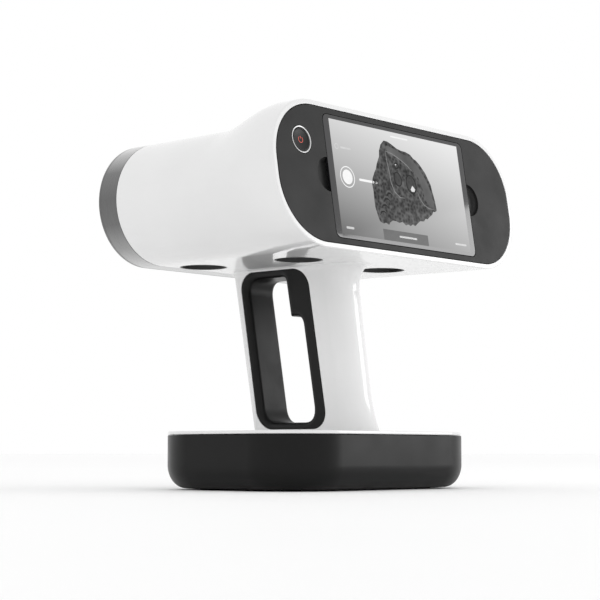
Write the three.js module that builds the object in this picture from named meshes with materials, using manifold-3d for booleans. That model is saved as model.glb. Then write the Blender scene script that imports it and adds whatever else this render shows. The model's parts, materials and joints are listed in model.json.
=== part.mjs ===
// Handheld 3-D scanner: a wide pill-section head with a touch display at the back and the optics
// at the front, a leaning handle with a finger loop, and a battery pack that is also the stand.
// Millimetres, +Z up, +Y the way the scanner looks, +X the user's right.
// The origin is on the ground, under the centre of the whole object's bounding box.
import * as THREE from 'three';
import { mergeVertices } from 'three/addons/utils/BufferGeometryUtils.js';
import Module from 'manifold-3d';

const wasm = await Module();
wasm.setup();

// ---- Driving dimensions -------------------------------------------------------------------
const GAP = 0.3; // between pieces that touch
const SIDES = 20; // facets round a visible round piece
const FINE = 8; // facets in a quarter turn of a large corner

const HEAD_FRONT_Y = 80.5;
const HEAD_HALF_WIDTH = 111;
const HEAD_HALF_HEIGHT = 39;
const HEAD_CORNER = 39;
const UNDERSIDE_Z = 140.4;
const WALL = 3;
const FLARE_START_Y = -4.4;
const FLARE_END_Y = -59.4;

const PANEL_TILT = THREE.MathUtils.degToRad(8.86); // the display leans back by this much
const PANEL_Y = -73.6;
const PANEL_HALF_WIDTH = 115.4; // white lip included
const PANEL_HALF_HEIGHT = 44.7;
const REAR_HALF_HEIGHT = PANEL_HALF_HEIGHT * Math.cos(PANEL_TILT);
const PANEL_Z = UNDERSIDE_Z + REAR_HALF_HEIGHT;
const BEZEL_THICK = 5;
const BEZEL_FACE = 1.6; // the face plate, which alone fills the lip

const GLASS_HALF_WIDTH = 67.9;
const GLASS_HALF_HEIGHT = 37.65;
const GLASS_CORNER = 4;
const GLASS_THICK = 1.8;
const SCOOP_RADIUS = 10.5;
const SCOOP_DEPTH = 3.2;
const SCREEN_HALF_WIDTH = 62.7;
const SCREEN_HALF_HEIGHT = 35.25;

const BUTTON_U = -89.06; // across the panel
const BUTTON_V = 18.52; // up the panel
const BUTTON_RADIUS = 7;
const BUTTON_RING_RADIUS = 8.2;

const RING_DEPTH = 16;
const RING_WALL = 5;
const WINDOW_RECESS = 3;
const WINDOW_THICK = 3;
const LENS_Z = UNDERSIDE_Z + HEAD_HALF_HEIGHT;
const CAMERA_X = 84;
const PROJECTOR_X = -22;
const TEXTURE_X = 22;
const FLASH_X = 52;
const OPTICAL_FRAME_Y = 56;
const FRAME_INSET = 7.5; // clears the vent cups below it

const VENT_RADIUS = 15;
const REAR_VENT_X = 40.05;
const REAR_VENT_Y = -23.9;
const FRONT_VENT_X = 49.85;
const FRONT_VENT_Y = 48.9;
const FAN_Z = UNDERSIDE_Z + 11;
const FAN_BLADES = 7;
const CHASSIS_Z = 160;

const HANDLE_HALF = 13.5; // half the handle's thickness
const HANDLE_BASE_Z = 36;
const HANDLE_TOP_Z = UNDERSIDE_Z - GAP;
const HANDLE_FRONT = { y: 45.1, z: 56.6, slope: 0.183 };
const HANDLE_REAR = { y: -40.2, z: 87.5, slope: 0.14 };
const FRONT_RADIUS = 6;
const TOP_FILLET = 18;
const FOOT_FLARE = 4.2;
const FOOT_FLARE_TOP = 62;
const DUCT_WALL = 2.8;
const CABLE_X = 8.5;

const LOOP_CENTRE = { y: 14.1, z: 88.35 };
const LOOP_HALF_DEPTH = 29.4;
const LOOP_HALF_HEIGHT = 50.75;
const LOOP_CORNER = 12;
const LOOP_LEAN = 0.172; // forward travel for each millimetre of height
const HOLE_HALF_DEPTH = 21.8;
const HOLE_HALF_HEIGHT = 46.65;
const HOLE_SHIFT = 2.8; // the finger hole sits forward in the loop
const HOLE_CORNER = 9;
const HOLE_LOWER_FRONT_CORNER = 12;
const LOOP_EDGE = 4; // rounding of the finger hole's edges

const HOUSING_FRONT = { y: 8.5, z: 109.2 }; // lower front corner of the trigger housing
const HOUSING_SLOPE = 0.182;
const HOUSING_TOP_FILLET = 4.5;
const HOUSING_FILLET = 7.5; // where it runs down into the finger hole's rear wall
const TRIGGER_Z = 120.5;
const TRIGGER_HALF_WIDTH = 8.4;
const TRIGGER_HALF_HEIGHT = 8.6;
const TRIGGER_TRAVEL = 2;
const TRIGGER_REAR = 5.2; // depth of its flange behind the housing's face

const BASE_Y = -3.8;
const BASE_HALF_WIDTH = 91;
const BASE_HALF_DEPTH = 65.4;
const BASE_CORNER = 40;
const BASE_CORNER_STEPS = 8;
const PLATE_THICK = 2;
const CASING_TOP_Z = 33.4;
const CASING_BOTTOM_Z = 0.8;
const CASING_ROUND = 14.5; // height of the rounded lower edge
const CASING_TUCK = 11.5; // how far that edge draws in
const CASING_WALL = 3;

const RAIL_HALF_WIDTH = 30;
const RAIL_NECK_HALF_WIDTH = 24;
const RAIL_BOTTOM_Z = 26.6;
const RAIL_FLANGE = 4;
const RAIL_RUN = 0.5; // running gap round the rail
const RAIL_REAR_Y = -48;
const TROUGH_Z = 23.6;

const CELL_RADIUS = 9;
const CELL_LENGTH = 65;
const CELL_Z = 13.4;

const LATCH_X = 46;
const LATCH_Z = 26.6;
const LATCH_WIDTH = 16;
const FOOT_X = 62;
const FOOT_SPREAD = 34; // from the base's middle, along Y
const FOOT_RADIUS = 6;
const FOOT_HEIGHT = 1.7; // mostly sunk into the casing
const SCREW_X = 40;
const SCREW_SPREAD = 35;

// ---- Materials ----------------------------------------------------------------------------
function finish(color, roughness, metalness) {
  return new THREE.MeshStandardMaterial({ color, roughness, metalness });
}

const WHITE = finish(0xf2f2f2, 0.15, 0);
const BLACK = finish(0x1b1b1c, 0.5, 0);
const BEZEL = finish(0x3a3a3c, 0.45, 0);
const ALUMINIUM = finish(0xb4b6b9, 0.3, 1);
const STEEL = finish(0x9a9c9f, 0.35, 1);
const GLASS = finish(0x0c0d10, 0.05, 0);
const SCREEN = finish(0x9a9c9e, 0.1, 0);
const BOARD = finish(0x14502c, 0.6, 0);
const BRASS = finish(0xc09a4a, 0.3, 1);
const CELL = finish(0x2f6fa8, 0.4, 0);
const RUBBER = finish(0x101010, 0.9, 0);
const DIFFUSER = finish(0xe6e6e0, 0.4, 0);

// ---- Solids -------------------------------------------------------------------------------
function solid(geometry) {
  const bare = new THREE.BufferGeometry();
  bare.setAttribute('position', geometry.getAttribute('position'));
  if (geometry.index) bare.setIndex(geometry.index);
  const merged = mergeVertices(bare, 1e-3);
  const mesh = new wasm.Mesh({
    numProp: 3,
    vertProperties: new Float32Array(merged.attributes.position.array),
    triVerts: new Uint32Array(merged.index.array),
  });
  return new wasm.Manifold(mesh);
}

function join(first, ...others) {
  return others.reduce((sum, geometry) => sum.add(solid(geometry)), solid(first));
}

function cut(body, ...tools) {
  const start = body.isBufferGeometry ? solid(body) : body;
  return tools.reduce((left, geometry) => left.subtract(solid(geometry)), start);
}

function geometryOf(manifold) {
  const mesh = manifold.getMesh();
  const geometry = new THREE.BufferGeometry();
  const position = new THREE.BufferAttribute(new Float32Array(mesh.vertProperties), 3);
  geometry.setAttribute('position', position);
  geometry.setIndex(new THREE.BufferAttribute(new Uint32Array(mesh.triVerts), 1));
  geometry.computeVertexNormals();
  return geometry;
}

function piece(parent, name, shape, material) {
  const geometry = shape.isBufferGeometry ? shape : geometryOf(shape);
  const mesh = new THREE.Mesh(geometry, material);
  mesh.name = name;
  parent.add(mesh);
  return mesh;
}

function block(centre, size) {
  return new THREE.BoxGeometry(...size).translate(...centre);
}

// A cylinder about the line through centre along axis 'x', 'y' or 'z'.
function rod(axis, centre, radius, length, sides = SIDES) {
  const geometry = new THREE.CylinderGeometry(radius, radius, length, sides);
  if (axis === 'x') geometry.rotateZ(Math.PI / 2);
  if (axis === 'z') geometry.rotateX(Math.PI / 2);
  return geometry.translate(...centre);
}

function roundedRect(halfWidth, halfHeight, radius) {
  const shape = new THREE.Shape();
  const x = halfWidth - radius;
  const y = halfHeight - radius;
  const quarter = Math.PI / 2;
  shape.absarc(x, y, radius, 0, quarter, false);
  shape.absarc(-x, y, radius, quarter, 2 * quarter, false);
  shape.absarc(-x, -y, radius, 2 * quarter, 3 * quarter, false);
  shape.absarc(x, -y, radius, 3 * quarter, 4 * quarter, false);
  return shape;
}

// A flat plate of the shape, from z to z + thick.
function slab(shape, z, thick, curveSegments = FINE) {
  const options = { depth: thick, bevelEnabled: false, curveSegments };
  return new THREE.ExtrudeGeometry(shape, options).translate(0, 0, z);
}

// The same, standing up and facing along Y: the shape's x and y become world x and z.
function uprightSlab(shape, y, thick, curveSegments = FINE) {
  return slab(shape, 0, thick, curveSegments)
    .rotateX(Math.PI / 2)
    .translate(0, y + thick, 0);
}

// Points of a quarter turn each about four centres, as [x, y] pairs, counterclockwise.
function cornerPoints(halfWidth, halfHeight, radius, perCorner = FINE) {
  const points = [];
  const x = halfWidth - radius;
  const y = halfHeight - radius;
  const centres = [[x, y], [-x, y], [-x, -y], [x, -y]];
  centres.forEach(([cx, cy], corner) => {
    for (let i = 0; i <= perCorner; i++) {
      const angle = (corner + i / perCorner) * (Math.PI / 2);
      points.push([cx + radius * Math.cos(angle), cy + radius * Math.sin(angle)]);
    }
  });
  return points;
}

// Joins rings of equal length into one skin. Closed rings of rings make a torus-like loop,
// and otherwise the first and last ring are capped with a fan about their middle.
function loft(rings, closed = false) {
  const count = rings[0].length;
  const positions = rings.flat().flatMap((p) => [p.x, p.y, p.z]);
  const index = [];
  const bands = closed ? rings.length : rings.length - 1;
  for (let r = 0; r < bands; r++) {
    const next = (r + 1) % rings.length;
    for (let i = 0; i < count; i++) {
      const j = (i + 1) % count;
      const a = r * count + i;
      const b = r * count + j;
      const c = next * count + j;
      const d = next * count + i;
      index.push(a, b, c, a, c, d);
    }
  }
  const cap = (ring, first, flip) => {
    const middle = ring.reduce((sum, p) => sum.add(p), new THREE.Vector3());
    middle.divideScalar(count);
    const centre = positions.length / 3;
    positions.push(middle.x, middle.y, middle.z);
    for (let i = 0; i < count; i++) {
      const j = (i + 1) % count;
      if (flip) index.push(centre, first + j, first + i);
      else index.push(centre, first + i, first + j);
    }
  };
  if (!closed) {
    cap(rings[0], 0, true);
    cap(rings[rings.length - 1], (rings.length - 1) * count, false);
  }
  const geometry = new THREE.BufferGeometry();
  geometry.setAttribute('position', new THREE.Float32BufferAttribute(positions, 3));
  geometry.setIndex(index);
  return facingOut(geometry);
}

// Turns every face round if the skin encloses a negative volume.
function facingOut(geometry) {
  const p = geometry.getAttribute('position');
  const index = geometry.index.array;
  const [a, b, c] = [new THREE.Vector3(), new THREE.Vector3(), new THREE.Vector3()];
  let volume = 0;
  for (let i = 0; i < index.length; i += 3) {
    a.fromBufferAttribute(p, index[i]);
    b.fromBufferAttribute(p, index[i + 1]);
    c.fromBufferAttribute(p, index[i + 2]);
    volume += a.dot(b.cross(c));
  }
  if (volume > 0) return geometry;
  for (let i = 0; i < index.length; i += 3) {
    [index[i + 1], index[i + 2]] = [index[i + 2], index[i + 1]];
  }
  return geometry;
}

// ---- Head ---------------------------------------------------------------------------------
function smooth(t) {
  const clamped = THREE.MathUtils.clamp(t, 0, 1);
  return clamped * clamped * (3 - 2 * clamped);
}

// One section of the head at y, drawn in by inset. Behind the flare the sections lean until
// the last one lies in the display's plane.
function headSection(y, inset) {
  const flare = smooth((FLARE_START_Y - y) / (FLARE_START_Y - FLARE_END_Y));
  const halfWidth = THREE.MathUtils.lerp(HEAD_HALF_WIDTH, PANEL_HALF_WIDTH, flare);
  const halfHeight = THREE.MathUtils.lerp(HEAD_HALF_HEIGHT, REAR_HALF_HEIGHT, flare);
  const lean = Math.tan(PANEL_TILT) * THREE.MathUtils.clamp(y / PANEL_Y, 0, 1);
  const outline = cornerPoints(halfWidth - inset, halfHeight - inset, HEAD_CORNER - inset);
  const middle = UNDERSIDE_Z + halfHeight;
  return outline.map(([x, up]) => new THREE.Vector3(x, y + up * lean, middle + up));
}

function headSkin(inset, frontY, rearY) {
  const span = FLARE_START_Y - rearY;
  const stations = [frontY];
  for (let i = 0; i <= 5; i++) stations.push(FLARE_START_Y - (span * i) / 5);
  return loft(stations.map((y) => headSection(y, inset)));
}

function addHeadShell(head) {
  const shellFront = HEAD_FRONT_Y - RING_DEPTH - GAP;
  const outside = headSkin(0, shellFront, PANEL_Y);
  const inside = headSkin(WALL, shellFront + 1, PANEL_Y - 1);
  const holes = ventPlaces().map(({ x, y }) => rod('z', [x, y, UNDERSIDE_Z], VENT_RADIUS, 20));
  const neck = slab(roundedRect(11.5, 17, 5), 0, 20).translate(0, -15, UNDERSIDE_Z - 10);
  piece(head, 'head_shell', cut(outside, inside, ...holes, neck), WHITE);
}

function ventPlaces() {
  const places = [];
  for (const side of [-1, 1]) {
    const word = side < 0 ? 'left' : 'right';
    places.push({ name: `rear_${word}`, x: side * REAR_VENT_X, y: REAR_VENT_Y });
    places.push({ name: `front_${word}`, x: side * FRONT_VENT_X, y: FRONT_VENT_Y });
  }
  return places;
}

// A shallow cup that fills a vent hole, with three slots in its floor and a flange inside.
function ventGrille() {
  const radius = VENT_RADIUS - GAP;
  const body = [
    rod('z', [0, 0, 2], radius, 4),
    rod('z', [0, 0, 4.8], radius + 0.8, 2),
  ];
  const dish = rod('z', [0, 0, 0], radius - 1.4, 5);
  const slots = [-6.5, 0, 6.5].map((x) => block([x, 0, 4], [3, 19 - Math.abs(x), 8]));
  return cut(join(...body), dish, ...slots);
}

function addVents(head) {
  for (const { name, x, y } of ventPlaces()) {
    const mesh = piece(head, `vent_grille_${name}`, ventGrille(), BLACK);
    mesh.position.set(x, y, UNDERSIDE_Z);
  }
}

// A hub with pitched blades, turning about z.
function fanRotor() {
  const hub = rod('z', [0, 0, 0], 5, 5, 16);
  const blades = [];
  for (let i = 0; i < FAN_BLADES; i++) {
    const blade = block([8, 0, 0], [8, 0.9, 4]);
    blade.rotateX(THREE.MathUtils.degToRad(35));
    blades.push(blade.rotateZ((i / FAN_BLADES) * 2 * Math.PI));
  }
  return join(hub, ...blades);
}

// A square frame, bored from below, with a ring of air holes through its roof.
function fanFrame() {
  const holes = [];
  for (let i = 0; i < 6; i++) {
    const angle = (i / 6) * 2 * Math.PI;
    holes.push(rod('z', [9 * Math.cos(angle), 9 * Math.sin(angle), 0], 3.2, 20, 10));
  }
  const bore = rod('z', [0, 0, -1], 13.6, 7);
  return cut(block([0, 0, 0], [32, 32, 7.5]), bore, ...holes);
}

function addFans(head) {
  for (const side of [-1, 1]) {
    const word = side < 0 ? 'left' : 'right';
    const frame = piece(head, `fan_frame_${word}`, fanFrame(), BLACK);
    frame.position.set(side * REAR_VENT_X, REAR_VENT_Y, FAN_Z);
    const rotor = piece(head, `fan_rotor_${word}`, fanRotor(), BEZEL);
    rotor.position.set(side * REAR_VENT_X, REAR_VENT_Y, FAN_Z - 1.2);
  }
}

// ---- Display and power button --------------------------------------------------------------
// In the panel group x runs across, y up the panel and z out of it, with z = 0 at its face.
function addDisplay(panel) {
  const outline = (lip) =>
    roundedRect(PANEL_HALF_WIDTH - lip, PANEL_HALF_HEIGHT - lip, HEAD_CORNER - lip);
  const pocket = roundedRect(GLASS_HALF_WIDTH + GAP, GLASS_HALF_HEIGHT + GAP, GLASS_CORNER);
  const opening = roundedRect(SCREEN_HALF_WIDTH + 2, SCREEN_HALF_HEIGHT + 0.4, 0.5);
  const scoops = [-1, 1].map((side) =>
    rod('z', [side * GLASS_HALF_WIDTH, 0, 0], SCOOP_RADIUS, 2 * SCOOP_DEPTH));
  const face = slab(outline(WALL + 0.5), -BEZEL_FACE, BEZEL_FACE);
  const back = slab(outline(WALL + 1.5), -BEZEL_THICK, BEZEL_THICK - BEZEL_FACE / 2);
  const bezel = cut(
    join(face, back),
    slab(pocket, -GLASS_THICK - GAP, 10, 4),
    slab(opening, -10, 20, 4),
    ...scoops,
    rod('z', [BUTTON_U, BUTTON_V, 0], BUTTON_RING_RADIUS + GAP, 20),
  );
  piece(panel, 'rear_bezel', bezel, BEZEL);

  const glass = roundedRect(GLASS_HALF_WIDTH, GLASS_HALF_HEIGHT, GLASS_CORNER);
  piece(panel, 'display_glass', slab(glass, -GLASS_THICK, GLASS_THICK, 5), GLASS);
  const screenZ = -GLASS_THICK - GAP - 1.25;
  const screenSize = [2 * SCREEN_HALF_WIDTH + 3, 2 * SCREEN_HALF_HEIGHT, 2.5];
  piece(panel, 'display_panel', block([0, 0, screenZ], screenSize), SCREEN);
  piece(panel, 'display_bracket', displayBracket(), ALUMINIUM);
  piece(panel, 'display_board', block([0, 0, -9.6], [104, 48, 1.6]), BOARD);
}

function displayBracket() {
  const plate = block([0, 0, -6.2], [150, 70, 1.2]);
  const windows = [-1, 1].map((side) => block([side * 38, 0, -6.2], [60, 44, 4]));
  return cut(plate, ...windows);
}

function addPowerButton(panel) {
  const centre = (z) => [BUTTON_U, BUTTON_V, z];
  const ring = cut(
    rod('z', centre(-2.4), BUTTON_RING_RADIUS, 5.2),
    rod('z', centre(0), BUTTON_RADIUS + GAP, 20),
  );
  piece(panel, 'power_button_ring', ring, ALUMINIUM);
  const button = rod('z', centre(-2.2), BUTTON_RADIUS, 4);
  const stem = rod('z', centre(-5.2), 2.5, 3, 12);
  piece(panel, 'power_button', join(button, stem), BLACK);
  const switchBody = block(centre(-10), [9, 9, 4.2]);
  const switchBoard = block(centre(-12.8), [22, 18, 1.6]);
  piece(panel, 'power_switch', join(switchBody, switchBoard), BLACK);
}

// ---- Front ----------------------------------------------------------------------------------
function frontFittings() {
  return [
    { name: 'scan_camera_left', lens: 'scan_lens_left', x: -CAMERA_X, radius: 10, size: 26 },
    { name: 'scan_camera_right', lens: 'scan_lens_right', x: CAMERA_X, radius: 10, size: 26 },
    { name: 'texture_camera', lens: 'texture_lens', x: TEXTURE_X, radius: 11, size: 28 },
    { name: 'pattern_projector', lens: 'projector_lens', x: PROJECTOR_X, radius: 13, size: 34 },
  ];
}

function headOutline(inset) {
  return roundedRect(HEAD_HALF_WIDTH - inset, HEAD_HALF_HEIGHT - inset, HEAD_CORNER - inset);
}

function addFront(head) {
  const ringY = HEAD_FRONT_Y - RING_DEPTH;
  const ring = cut(
    uprightSlab(headOutline(0), ringY, RING_DEPTH),
    uprightSlab(headOutline(RING_WALL), ringY - 5, RING_DEPTH + 10),
  );
  piece(head, 'front_ring', ring, ALUMINIUM).position.z = LENS_Z;

  const windowY = HEAD_FRONT_Y - WINDOW_RECESS - WINDOW_THICK;
  const holes = frontFittings().map(({ x, radius }) => rod('y', [x, windowY, 0], radius + GAP, 20));
  const slots = [-1, 1].map((side) => block([side * FLASH_X, windowY, 0], [14.6, 20, 34.6]));
  const pane = cut(
    uprightSlab(headOutline(RING_WALL + GAP), windowY, WINDOW_THICK),
    ...holes,
    ...slots,
  );
  piece(head, 'front_window', pane, GLASS).position.z = LENS_Z;
  addOpticalFrame(head);
  frontFittings().forEach((fitting) => addFitting(head, fitting));
  addFlashes(head);
}

function addOpticalFrame(head) {
  const holes = frontFittings().map(({ x, radius }) => rod('y', [x, 0, 0], radius + GAP, 200));
  const slots = [-1, 1].map((side) => block([side * FLASH_X, 0, 0], [12, 200, 30]));
  const frame = cut(
    uprightSlab(headOutline(FRAME_INSET), OPTICAL_FRAME_Y, 6),
    ...holes,
    ...slots,
  );
  piece(head, 'optical_frame', frame, ALUMINIUM).position.z = LENS_Z;
}

// A camera or projector: a housing behind the optical frame and a barrel through it, whose
// bored mouth holds the front lens.
function addFitting(head, { name, lens, x, radius, size }) {
  const mouthY = HEAD_FRONT_Y - WINDOW_RECESS - 0.4;
  const backY = OPTICAL_FRAME_Y - GAP;
  const housing = block([0, backY - 13, 0], [size, 26, size]);
  const barrel = rod('y', [0, (backY + mouthY) / 2 - 1, 0], radius, mouthY - backY + 2);
  const mouth = rod('y', [0, mouthY, 0], radius - 2, 6);
  const body = piece(head, name, cut(join(housing, barrel), mouth), BLACK);
  body.position.set(x, 0, LENS_Z);
  const glass = piece(head, lens, lensShape(radius - 2 - GAP), GLASS);
  glass.position.set(x, mouthY - 3 + GAP, LENS_Z);
}

// A plano-convex lens that bulges towards +Y.
function lensShape(radius) {
  const profile = [new THREE.Vector2(0, 0), new THREE.Vector2(radius, 0)];
  for (let i = 0; i <= 4; i++) {
    const angle = (i / 4) * (Math.PI / 2);
    profile.push(new THREE.Vector2(radius * Math.cos(angle), 0.9 + 1.4 * Math.sin(angle)));
  }
  profile[profile.length - 1].x = 0;
  return new THREE.LatheGeometry(profile, SIDES);
}

function addFlashes(head) {
  const paneY = HEAD_FRONT_Y - WINDOW_RECESS - WINDOW_THICK;
  for (const side of [-1, 1]) {
    const word = side < 0 ? 'left' : 'right';
    const diffuser = uprightSlab(roundedRect(7, 17, 2), paneY, WINDOW_THICK - 0.4, 3);
    piece(head, `flash_diffuser_${word}`, diffuser, DIFFUSER).position.set(side * FLASH_X, 0, LENS_Z);
  }
  const barrels = frontFittings().map(({ x, radius }) => rod('y', [x, paneY - 7, 0], radius + 1, 20));
  const board = cut(block([0, paneY - 7, 0], [2 * FLASH_X + 16, 1.6, 40]), ...barrels);
  piece(head, 'flash_board', board, BOARD).position.z = LENS_Z;
}

// ---- Inside the head ------------------------------------------------------------------------
function addElectronics(head) {
  const chassis = cut(
    block([0, -8, CHASSIS_Z], [150, 76, 2.5]),
    ...[-1, 1].map((side) => rod('z', [side * REAR_VENT_X, REAR_VENT_Y, CHASSIS_Z], 13, 10)),
  );
  piece(head, 'chassis_plate', chassis, ALUMINIUM);
  piece(head, 'main_board', block([0, -8, CHASSIS_Z + 8], [132, 62, 1.6]), BOARD);
  const base = block([0, 0, 1.5], [46, 42, 3]);
  const fins = [];
  for (let i = 0; i < 7; i++) fins.push(block([-21 + 7 * i, 0, 9], [1.6, 42, 13]));
  const sink = piece(head, 'heat_sink', join(base, ...fins), ALUMINIUM);
  sink.position.set(0, -8, CHASSIS_Z + 9.4);
}

// ---- Handle ---------------------------------------------------------------------------------
function lineAt({ y, z, slope }, height) {
  return y + slope * (height - z);
}

function filletAt(height, radius) {
  const rise = Math.max(0, height - (HANDLE_TOP_Z - radius));
  return radius - Math.sqrt(Math.max(0, radius * radius - rise * rise));
}

function footFlareAt(height) {
  const reach = Math.max(0, FOOT_FLARE_TOP - height) / (FOOT_FLARE_TOP - HANDLE_BASE_Z);
  return FOOT_FLARE * reach * reach;
}

// The handle's section at one height: two front corners, then a half ellipse at the back.
function handleSection(height) {
  const side = HANDLE_HALF + filletAt(height, 4) * 0.8;
  const front = lineAt(HANDLE_FRONT, height);
  const back = HANDLE_HALF + filletAt(height, TOP_FILLET) * 0.85 + footFlareAt(height);
  const backCentre = lineAt(HANDLE_REAR, height) + HANDLE_HALF;
  const points = [];
  for (let i = 0; i <= 16; i++) {
    const angle = Math.PI + (i / 16) * Math.PI;
    const x = side * Math.cos(angle);
    points.push(new THREE.Vector3(x, backCentre + back * Math.sin(angle), height));
  }
  for (const [turn, sign] of [[0, 1], [1, -1]]) {
    for (let i = 0; i <= 4; i++) {
      const angle = (turn + i / 4) * (Math.PI / 2);
      const x = sign * (side - FRONT_RADIUS) + FRONT_RADIUS * Math.cos(angle);
      const y = front - FRONT_RADIUS + FRONT_RADIUS * Math.sin(angle);
      points.push(new THREE.Vector3(x, y, height));
    }
  }
  return points;
}

function handleHeights() {
  const heights = [HANDLE_BASE_Z, 41, 48, FOOT_FLARE_TOP, 122];
  for (let i = 1; i <= 6; i++) {
    heights.push(HANDLE_TOP_Z - TOP_FILLET * (1 - Math.sin((i / 6) * (Math.PI / 2))));
  }
  return heights;
}

function ductBack(height) {
  return lineAt(HANDLE_REAR, height) + DUCT_WALL;
}

function ductFront(height) {
  return loopLean(height) - LOOP_HALF_DEPTH - DUCT_WALL;
}

function ductMiddle(height) {
  return (ductFront(height) + ductBack(height)) / 2;
}

// The duct inside the rear column, open at both ends.
function handleDuct() {
  const rings = [HANDLE_BASE_Z - 2, HANDLE_TOP_Z + 2].map((height) => {
    const halfDepth = (ductFront(height) - ductBack(height)) / 2;
    const outline = cornerPoints(HANDLE_HALF - DUCT_WALL, halfDepth, 6, 3);
    return outline.map(([x, y]) => new THREE.Vector3(x, ductMiddle(height) + y, height));
  });
  return loft(rings);
}

function loopLean(height) {
  return LOOP_CENTRE.y + LOOP_LEAN * (height - LOOP_CENTRE.z);
}

// The loop's outer outline, leaning forward, at the given x.
function loopRing(x, grow) {
  const outline = cornerPoints(
    LOOP_HALF_DEPTH + grow,
    LOOP_HALF_HEIGHT + grow,
    LOOP_CORNER + grow,
    6,
  );
  return outline.map(([y, up]) => {
    const height = LOOP_CENTRE.z + up;
    return new THREE.Vector3(x, loopLean(height) + y, height);
  });
}

function loopWindow() {
  return loft([-30, 30].map((x) => loopRing(x, GAP)));
}

function addHandleShell(handle) {
  const outside = loft(handleHeights().map(handleSection));
  piece(handle, 'handle_shell', cut(outside, handleDuct(), loopWindow()), WHITE);
}

// Where the trigger housing's front face stands at a height.
function housingFace(height) {
  return HOUSING_FRONT.y + HOUSING_SLOPE * (height - HOUSING_FRONT.z);
}

// The finger hole's corners as [y, z, radius], counterclockwise from its lower front. The
// trigger housing takes up its upper rear.
function holeCorners() {
  const bottom = LOOP_CENTRE.z - HOLE_HALF_HEIGHT;
  const top = LOOP_CENTRE.z + HOLE_HALF_HEIGHT;
  const front = (z) => loopLean(z) + HOLE_SHIFT + HOLE_HALF_DEPTH;
  const rear = (z) => loopLean(z) + HOLE_SHIFT - HOLE_HALF_DEPTH;
  return [
    [front(bottom), bottom, HOLE_LOWER_FRONT_CORNER],
    [front(top), top, HOLE_CORNER],
    [housingFace(top), top, HOUSING_TOP_FILLET],
    [HOUSING_FRONT.y, HOUSING_FRONT.z, 0],
    [rear(HOUSING_FRONT.z), HOUSING_FRONT.z, HOUSING_FILLET],
    [rear(bottom), bottom, HOLE_CORNER],
  ];
}

// The hole's outline at x, with every side moved outwards by open.
function holeRing(x, open) {
  const corners = holeCorners();
  const count = corners.length;
  return corners.flatMap(([y, z, radius], i) => {
    const here = new THREE.Vector2(y, z);
    const back = new THREE.Vector2(...corners[(i + count - 1) % count]).sub(here).normalize();
    const ahead = new THREE.Vector2(...corners[(i + 1) % count]).sub(here).normalize();
    const outwards = new THREE.Vector2(ahead.y - back.y, back.x - ahead.x);
    here.addScaledVector(outwards, open / (1 - back.dot(ahead)));
    if (radius === 0) return [new THREE.Vector3(x, here.x, here.y)];
    const reach = (radius + open) / Math.tan(Math.acos(back.dot(ahead)) / 2);
    const start = here.clone().addScaledVector(back, reach);
    const end = here.clone().addScaledVector(ahead, reach);
    const bend = new THREE.QuadraticBezierCurve(start, here, end);
    return bend.getPoints(6).map((point) => new THREE.Vector3(x, point.x, point.y));
  });
}

// The finger hole as a solid: it widens with a quarter turn towards both faces of the loop.
function fingerHole(face) {
  const rings = [holeRing(-face - 2, LOOP_EDGE)];
  const steps = 3;
  for (const side of [-1, 1]) {
    for (let i = 0; i <= steps; i++) {
      const turn = ((side < 0 ? i : steps - i) / steps) * (Math.PI / 2);
      const x = side * (face - LOOP_EDGE * (1 - Math.cos(turn)));
      rings.push(holeRing(x, LOOP_EDGE * (1 - Math.sin(turn))));
    }
  }
  rings.push(holeRing(face + 2, LOOP_EDGE));
  return loft(rings);
}

function addLoop(handle) {
  const leanAngle = Math.atan(LOOP_LEAN);
  const pocket = (halfWidth, halfHeight, from, to) =>
    block([0, (from + to) / 2, 0], [2 * halfWidth, to - from, 2 * halfHeight])
      .rotateX(-leanAngle)
      .translate(0, housingFace(TRIGGER_Z), TRIGGER_Z);
  const face = HANDLE_HALF - 0.1;
  const loop = cut(
    loft([-face, face].map((x) => loopRing(x, 0))),
    fingerHole(face),
    pocket(TRIGGER_HALF_WIDTH + GAP, TRIGGER_HALF_HEIGHT + GAP, -10.5, 10),
    pocket(TRIGGER_HALF_WIDTH + 1.6, TRIGGER_HALF_HEIGHT + 1.6, -10.5, -3),
  );
  piece(handle, 'grip_loop', loop, BLACK);

  const trigger = new THREE.Group();
  trigger.position.set(0, housingFace(TRIGGER_Z), TRIGGER_Z);
  trigger.rotation.x = -leanAngle;
  handle.add(trigger);
  piece(trigger, 'trigger', triggerShape(), BLACK);
  const switchY = -(TRIGGER_REAR + TRIGGER_TRAVEL + 0.8);
  piece(trigger, 'trigger_switch', block([0, switchY - 1.1, 0], [11, 2.2, 7]), BEZEL);
}

// A finger button: a body that stands proud of the housing, dished in front, and a flange
// behind the housing's lip.
function triggerShape() {
  const body = block([0, -1.55, 0], [2 * TRIGGER_HALF_WIDTH, 7.5, 2 * TRIGGER_HALF_HEIGHT]);
  const flangeSize = [2 * TRIGGER_HALF_WIDTH + 2.2, 1.6, 2 * TRIGGER_HALF_HEIGHT + 2.2];
  const flange = block([0, 0.8 - TRIGGER_REAR, 0], flangeSize);
  const dish = rod('x', [0, 19, 0], 18, 40, 48);
  return cut(join(body, flange), dish);
}

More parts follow.
